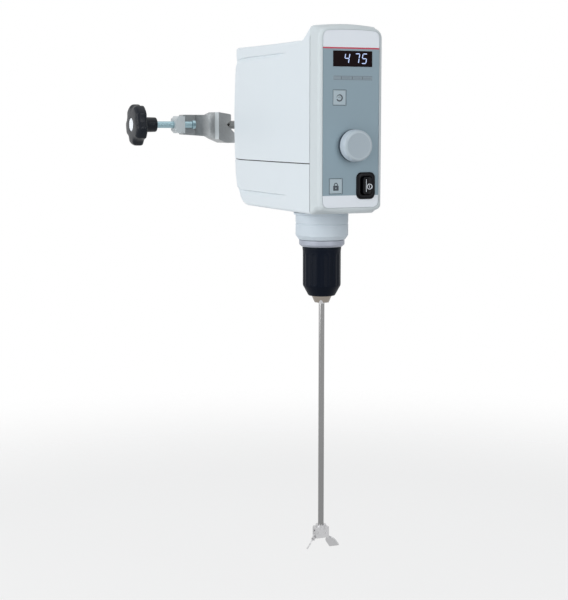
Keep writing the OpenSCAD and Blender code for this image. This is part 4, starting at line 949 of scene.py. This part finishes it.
def fluteRadius(angle, z, radius):
    s = sleeveSizes
    spacing = 2 * math.pi / s["count"]
    off = (angle + spacing / 2) % spacing - spacing / 2
    beyond = max(0.0, z - s["from"], s["to"] - z)
    if beyond >= s["flute"]:
        return radius
    cut = math.sqrt(s["flute"] ** 2 - beyond ** 2)
    centre = s["grip"] + s["flute"] - s["depth"]
    reach = centre * math.sin(off)
    if abs(reach) >= cut:
        return radius
    floorRadius = centre * math.cos(off) - math.sqrt(cut ** 2 - reach ** 2)
    return softMin(radius, floorRadius, 0.1)


steps = sleeveSizes["steps"]
sleeveRings = [ringOf([fluteRadius(2 * math.pi * i / steps, z, radius) for i in range(steps)], z)
               for radius, z in sleeveLine]
sleeveRings += [ringOf([radius] * steps, z) for radius, z in sleeveInside]
sleeve = ringSolid("gripSleeve", sleeveRings, loop=True)
dress(sleeve, "gripPlastic", "grip_sleeve", ("chuck_sleeve",), 40.0)
print("collar and chuck built")

# impeller: yoke and blades with softened edges
for node, body in (("impeller_yoke", "spindle_line"), ("blade_left", "blade_l"), ("blade_right", "blade_r")):
    bevelledCopy(node, "turnedSteel", body, 0.25, 32.0)
bevelledCopy("rod_locknut", "zincPlate", "head", 0.4)
bevelledCopy("power_inlet", "switchBlack", "head", 0.3, 40.0)


def acrossClamp(name, outline, front, back):  # a cutter with its outline in the stand rod's own (x, z)
    return plate(name, [(x - rodOffset, z) for x, z in outline], front + spindleAhead, back + spindleAhead)


# the block ends at x -39.7, behind it at y 9.5 and towards the rod at x -28.3
blockCuts = ((-50, -39.7, -30.0, 40.0), (-50, -33, 9.5, 40.0), (-28.3, -25.0, -30.0, 6.9))
bossCuts = [acrossClamp("blockCut", [(left, -20), (right, -20), (right, 20), (left, 20)], front, back)
            for left, right, front, back in blockCuts]
bossCuts += [acrossClamp("cornerCut", [(-41, side * 5.2), (-35.6, side * 10.6), (-41, side * 10.6)], -30.0, 40.0)
             for side in (-1, 1)]
boss = bevelledCopy("boss_head", "castAlloy", "head", 0.7, 32.0, bossCuts)


def bossZone(face):  # the block that holds the clamp screw and a strip on one wall of the rod's seat are paler: painted light, a lit copy of the cast finish
    litStrip = face.normal.x < -0.6 and 0.005 < face.center.x < 0.014 and face.center.y < -0.002
    return 1 if face.center.x < -0.0262 or litStrip else 0


paint(boss, ("castPaleLit",), bossZone)

# clamp: threaded screws, star knobs and their caps; the second set is the first one's mirror image
knobSizes = {"face": 92.0, "over": 24.4, "scallop": 14.0, "away": 35.2, "turn": 42.0, "steps": 150}
screwSizes = {"from": 16.95, "to": 76.4, "radius": 4.0, "depth": 0.12, "pitch": 1.25, "steps": 24}


def lobeRadius(angle):  # distance from the axis to the scalloped outline of a knob
    s = knobSizes
    spacing = 2 * math.pi / 5
    off = (angle - math.radians(s["turn"]) + spacing / 2) % spacing - spacing / 2
    reach = s["away"] * math.sin(off)
    if abs(reach) < s["scallop"]:
        valley = s["away"] * math.cos(off) - math.sqrt(s["scallop"] ** 2 - reach ** 2)
    else:
        valley = s["away"] * math.cos(off) + 4.0 * (abs(reach) - s["scallop"])
    return softMin(s["over"], valley, 2.6)


def knobRings():
    s = knobSizes
    lobes = [lobeRadius(2 * math.pi * i / s["steps"]) for i in range(s["steps"])]
    hub = ((4.02, 15.5), (4.02, 26.0), (4.02, 30.5), (7.4, 30.5), (8.2, 30.1), (8.5, 29.2), (8.6, 26.0),
           (8.7, 21.0), (8.9, 18.2), (9.4, 16.2), (10.4, 14.6), (11.6, 13.7))
    back = ((4.2, 13.5), (2.2, 13.45), (1.2, 13.1), (0.45, 12.4), (0.1, 11.5), (0.0, 10.4), (0.0, 8.2))
    capSeat = ((8.6, 0.05), (7.75, 0.2), (7.62, 0.45), (7.62, 0.79))
    turns = [math.radians(angle) for angle in (0, -12, -24, -36, -48, -60, -72)]
    rings = [ringOf([radius] * s["steps"], height) for radius, height in hub]
    rings += [ringOf([lobe - inset for lobe in lobes], height) for inset, height in back]
    rings += [ringOf([lobe - 6.0 + 6.0 * math.cos(n) for lobe in lobes], 6.0 + 6.0 * math.sin(n)) for n in turns]
    rings += [ringOf([9.5 + (lobe - 4.2 - 9.5) * share for lobe in lobes], height)
              for share, height in ((0.5, 0.06), (0.2, 0.0))]
    return rings + [ringOf([radius] * s["steps"], height) for radius, height in capSeat]


def screwRings():
    s = screwSizes
    steps = s["steps"]
    rings = [ringOf([2.15] * steps, place) for place in (14.6, 16.6)]  # the plain tip inside the pad
    count = int((s["to"] - s["from"]) / s["pitch"] * 8)
    for k in range(count + 1):
        place = s["from"] + (s["to"] - s["from"]) * k / count
        fade = smooth((place - s["from"]) / 1.6)
        waves = [0.5 - 0.5 * math.cos(2 * math.pi * (place / s["pitch"] - i / steps)) for i in range(steps)]
        rings.append(ringOf([s["radius"] - s["depth"] * (wave * fade + (1 - fade)) for wave in waves], place))
    return rings


rodTip, padFace = 35.25, 12.75  # where the pads of the two clamp screws end


def onStandSide(x, y, h):  # h runs out along the clamp screw, away from the stand rod
    return atRod(-h, y, -x)


def onRodSide(x, y, h):
    return atRod(rodTip + h - padFace, y, -x)


def onStandKnob(x, y, h):  # h runs in from the outer face of the knob
    return atRod(h - knobSizes["face"], y, -x)


def onRodKnob(x, y, h):
    return atRod(rodTip + knobSizes["face"] - padFace - h, y, -x)


capProfile = [(0.0, -0.55), (3.0, -0.5), (5.2, -0.35), (6.6, -0.05), (7.4, 0.35), (7.58, 0.6), (7.58, 0.78),
              (0.0, 0.78)]
padProfile = [(0.0, 12.76), (4.3, 12.76), (4.85, 13.0), (5.0, 13.4), (5.0, 16.2), (4.85, 16.6), (4.4, 16.74),
              (2.3, 16.74), (2.3, 14.4), (0.0, 14.4)]
for side, atScrew, atKnob in (("stand", onStandSide, onStandKnob), ("rod", onRodSide, onRodKnob)):
    handle, tip = side + "_handle", side + "_tip"
    dress(ringSolid(side + "Screw", screwRings(), atScrew), "zincPlate", handle, (side + "_screw",), 70.0)
    dress(ringSolid(side + "Knob", knobRings(), atKnob), "knobBlack", handle, (side + "_knob",), 42.0)
    dress(turned(side + "Cap", capProfile, 64, atKnob), "capWhite", handle, (side + "_knob_cap",), 40.0)
    dress(turned(side + "Pad", padProfile, 48, atScrew), "zincPlate", tip, (side + "_pad",), 40.0)
print("clamp built")

# 1 for rays that see the backdrop itself, also in a mirror or through glass; 0 for rays that light the object
def backdropRays(tree):
    rays = addNode(tree, "LightPath").outputs
    seen = rays["Is Camera Ray"]
    for kind in ("Is Glossy Ray", "Is Transmission Ray"):
        seen = addNode(tree, "Math", {0: seen, 1: rays[kind]}, operation="MAXIMUM").outputs[0]
    return seen


# floor: pale near the object and fading out around it, so that only its shadow is seen
floorSetup = {"place": (0.03, -0.265, -0.52), "half": 3.0, "colour": (0.8, 0.8, 0.8), "rough": 0.95,
              "specular": 0.05, "white": 0.7, "fadeFrom": 0.55, "fadeTo": 1.3}
half = floorSetup["half"]
floorMesh = bpy.data.meshes.new("studioFloor")
floorMesh.from_pydata([(-half, -half, 0), (half, -half, 0), (half, half, 0), (-half, half, 0)], [], [(0, 1, 2, 3)])
floorObject = addObject("studioFloor", floorMesh, floorSetup["place"])
floorFinish = bpy.data.materials.new("paleFloor")
floorFinish.use_nodes = True
tree = floorFinish.node_tree
matte = feed(tree, tree.nodes["Principled BSDF"], {
    "Base Color": (*floorSetup["colour"], 1.0), "Roughness": floorSetup["rough"],
    "Specular IOR Level": floorSetup["specular"]})
share = addNode(tree, "Math", {0: backdropRays(tree), 1: floorSetup["white"]}, operation="MULTIPLY")
white = addNode(tree, "Emission", {"Strength": 1.0})
pale = addNode(tree, "MixShader", {0: share.outputs[0], 1: matte.outputs[0], 2: white.outputs[0]})
reach = addNode(tree, "VectorMath", {0: addNode(tree, "TexCoord").outputs["Object"]}, operation="LENGTH")
fade = addNode(tree, "MapRange", {"From Min": floorSetup["fadeFrom"], "From Max": floorSetup["fadeTo"],
                                  "Value": reach.outputs["Value"]}, interpolation_type="SMOOTHSTEP")
clear = addNode(tree, "BsdfTransparent")
faded = addNode(tree, "MixShader", {0: fade.outputs["Result"], 1: pale.outputs[0], 2: clear.outputs[0]})
feed(tree, tree.nodes["Material Output"], {"Surface": faded.outputs[0]})
floorMesh.materials.append(floorFinish)

# tall soft boxes on the left, in front and at the left rear, and a weak one overhead
lightSetup = {
    "key": {"place": (-2.1, -0.85, 0.6), "aim": (0.0, -0.25, 0.5), "wide": 1.1, "high": 2.2, "power": 27.0},
    "fill": {"place": (0.55, -2.4, 0.5), "aim": (0.0, -0.3, 0.1), "wide": 1.0, "high": 1.8, "power": 19.5},
    "rim": {"place": (-2.1, 0.6, 0.3), "aim": (0.0, -0.2, 0.1), "wide": 0.7, "high": 1.8, "power": 8.0},
    "top": {"place": (0.2, -0.2, 1.9), "aim": (0.0, -0.2, 0.0), "wide": 1.6, "high": 1.6, "power": 4.0},
}
for lightName, setup in lightSetup.items():
    lightData = bpy.data.lights.new(lightName, "AREA")
    lightData.shape = "RECTANGLE"
    lightData.size = setup["wide"]
    lightData.size_y = setup["high"]
    lightData.energy = setup["power"]
    addObject(lightName, lightData, setup["place"], Vector(setup["aim"]) - Vector(setup["place"]))

# world: the room is brighter on the left and overhead, and white where it is seen
roomSetup = {"colour": (0.94, 0.97, 1.0, 1.0), "level": 0.3, "lean": (-0.17, -0.02, 0.12)}
world = bpy.data.worlds.new("studioWorld")
scene.world = world
world.use_nodes = True
tree = world.node_tree
tree.nodes.clear()
lean = addNode(tree, "VectorMath", {0: addNode(tree, "TexCoord").outputs["Generated"], 1: roomSetup["lean"]},
               operation="DOT_PRODUCT")
level = addNode(tree, "Math", {0: lean.outputs["Value"], 1: roomSetup["level"]}, operation="ADD")
room = addNode(tree, "Background", {"Color": roomSetup["colour"], "Strength": level.outputs[0]})
backdrop = addNode(tree, "Background", {"Color": (1.0, 1.0, 1.0, 1.0), "Strength": 1.0})
shown = addNode(tree, "MixShader", {0: backdropRays(tree), 1: room.outputs[0], 2: backdrop.outputs[0]})
addNode(tree, "OutputWorld", {"Surface": shown.outputs[0]})
print("studio lit")
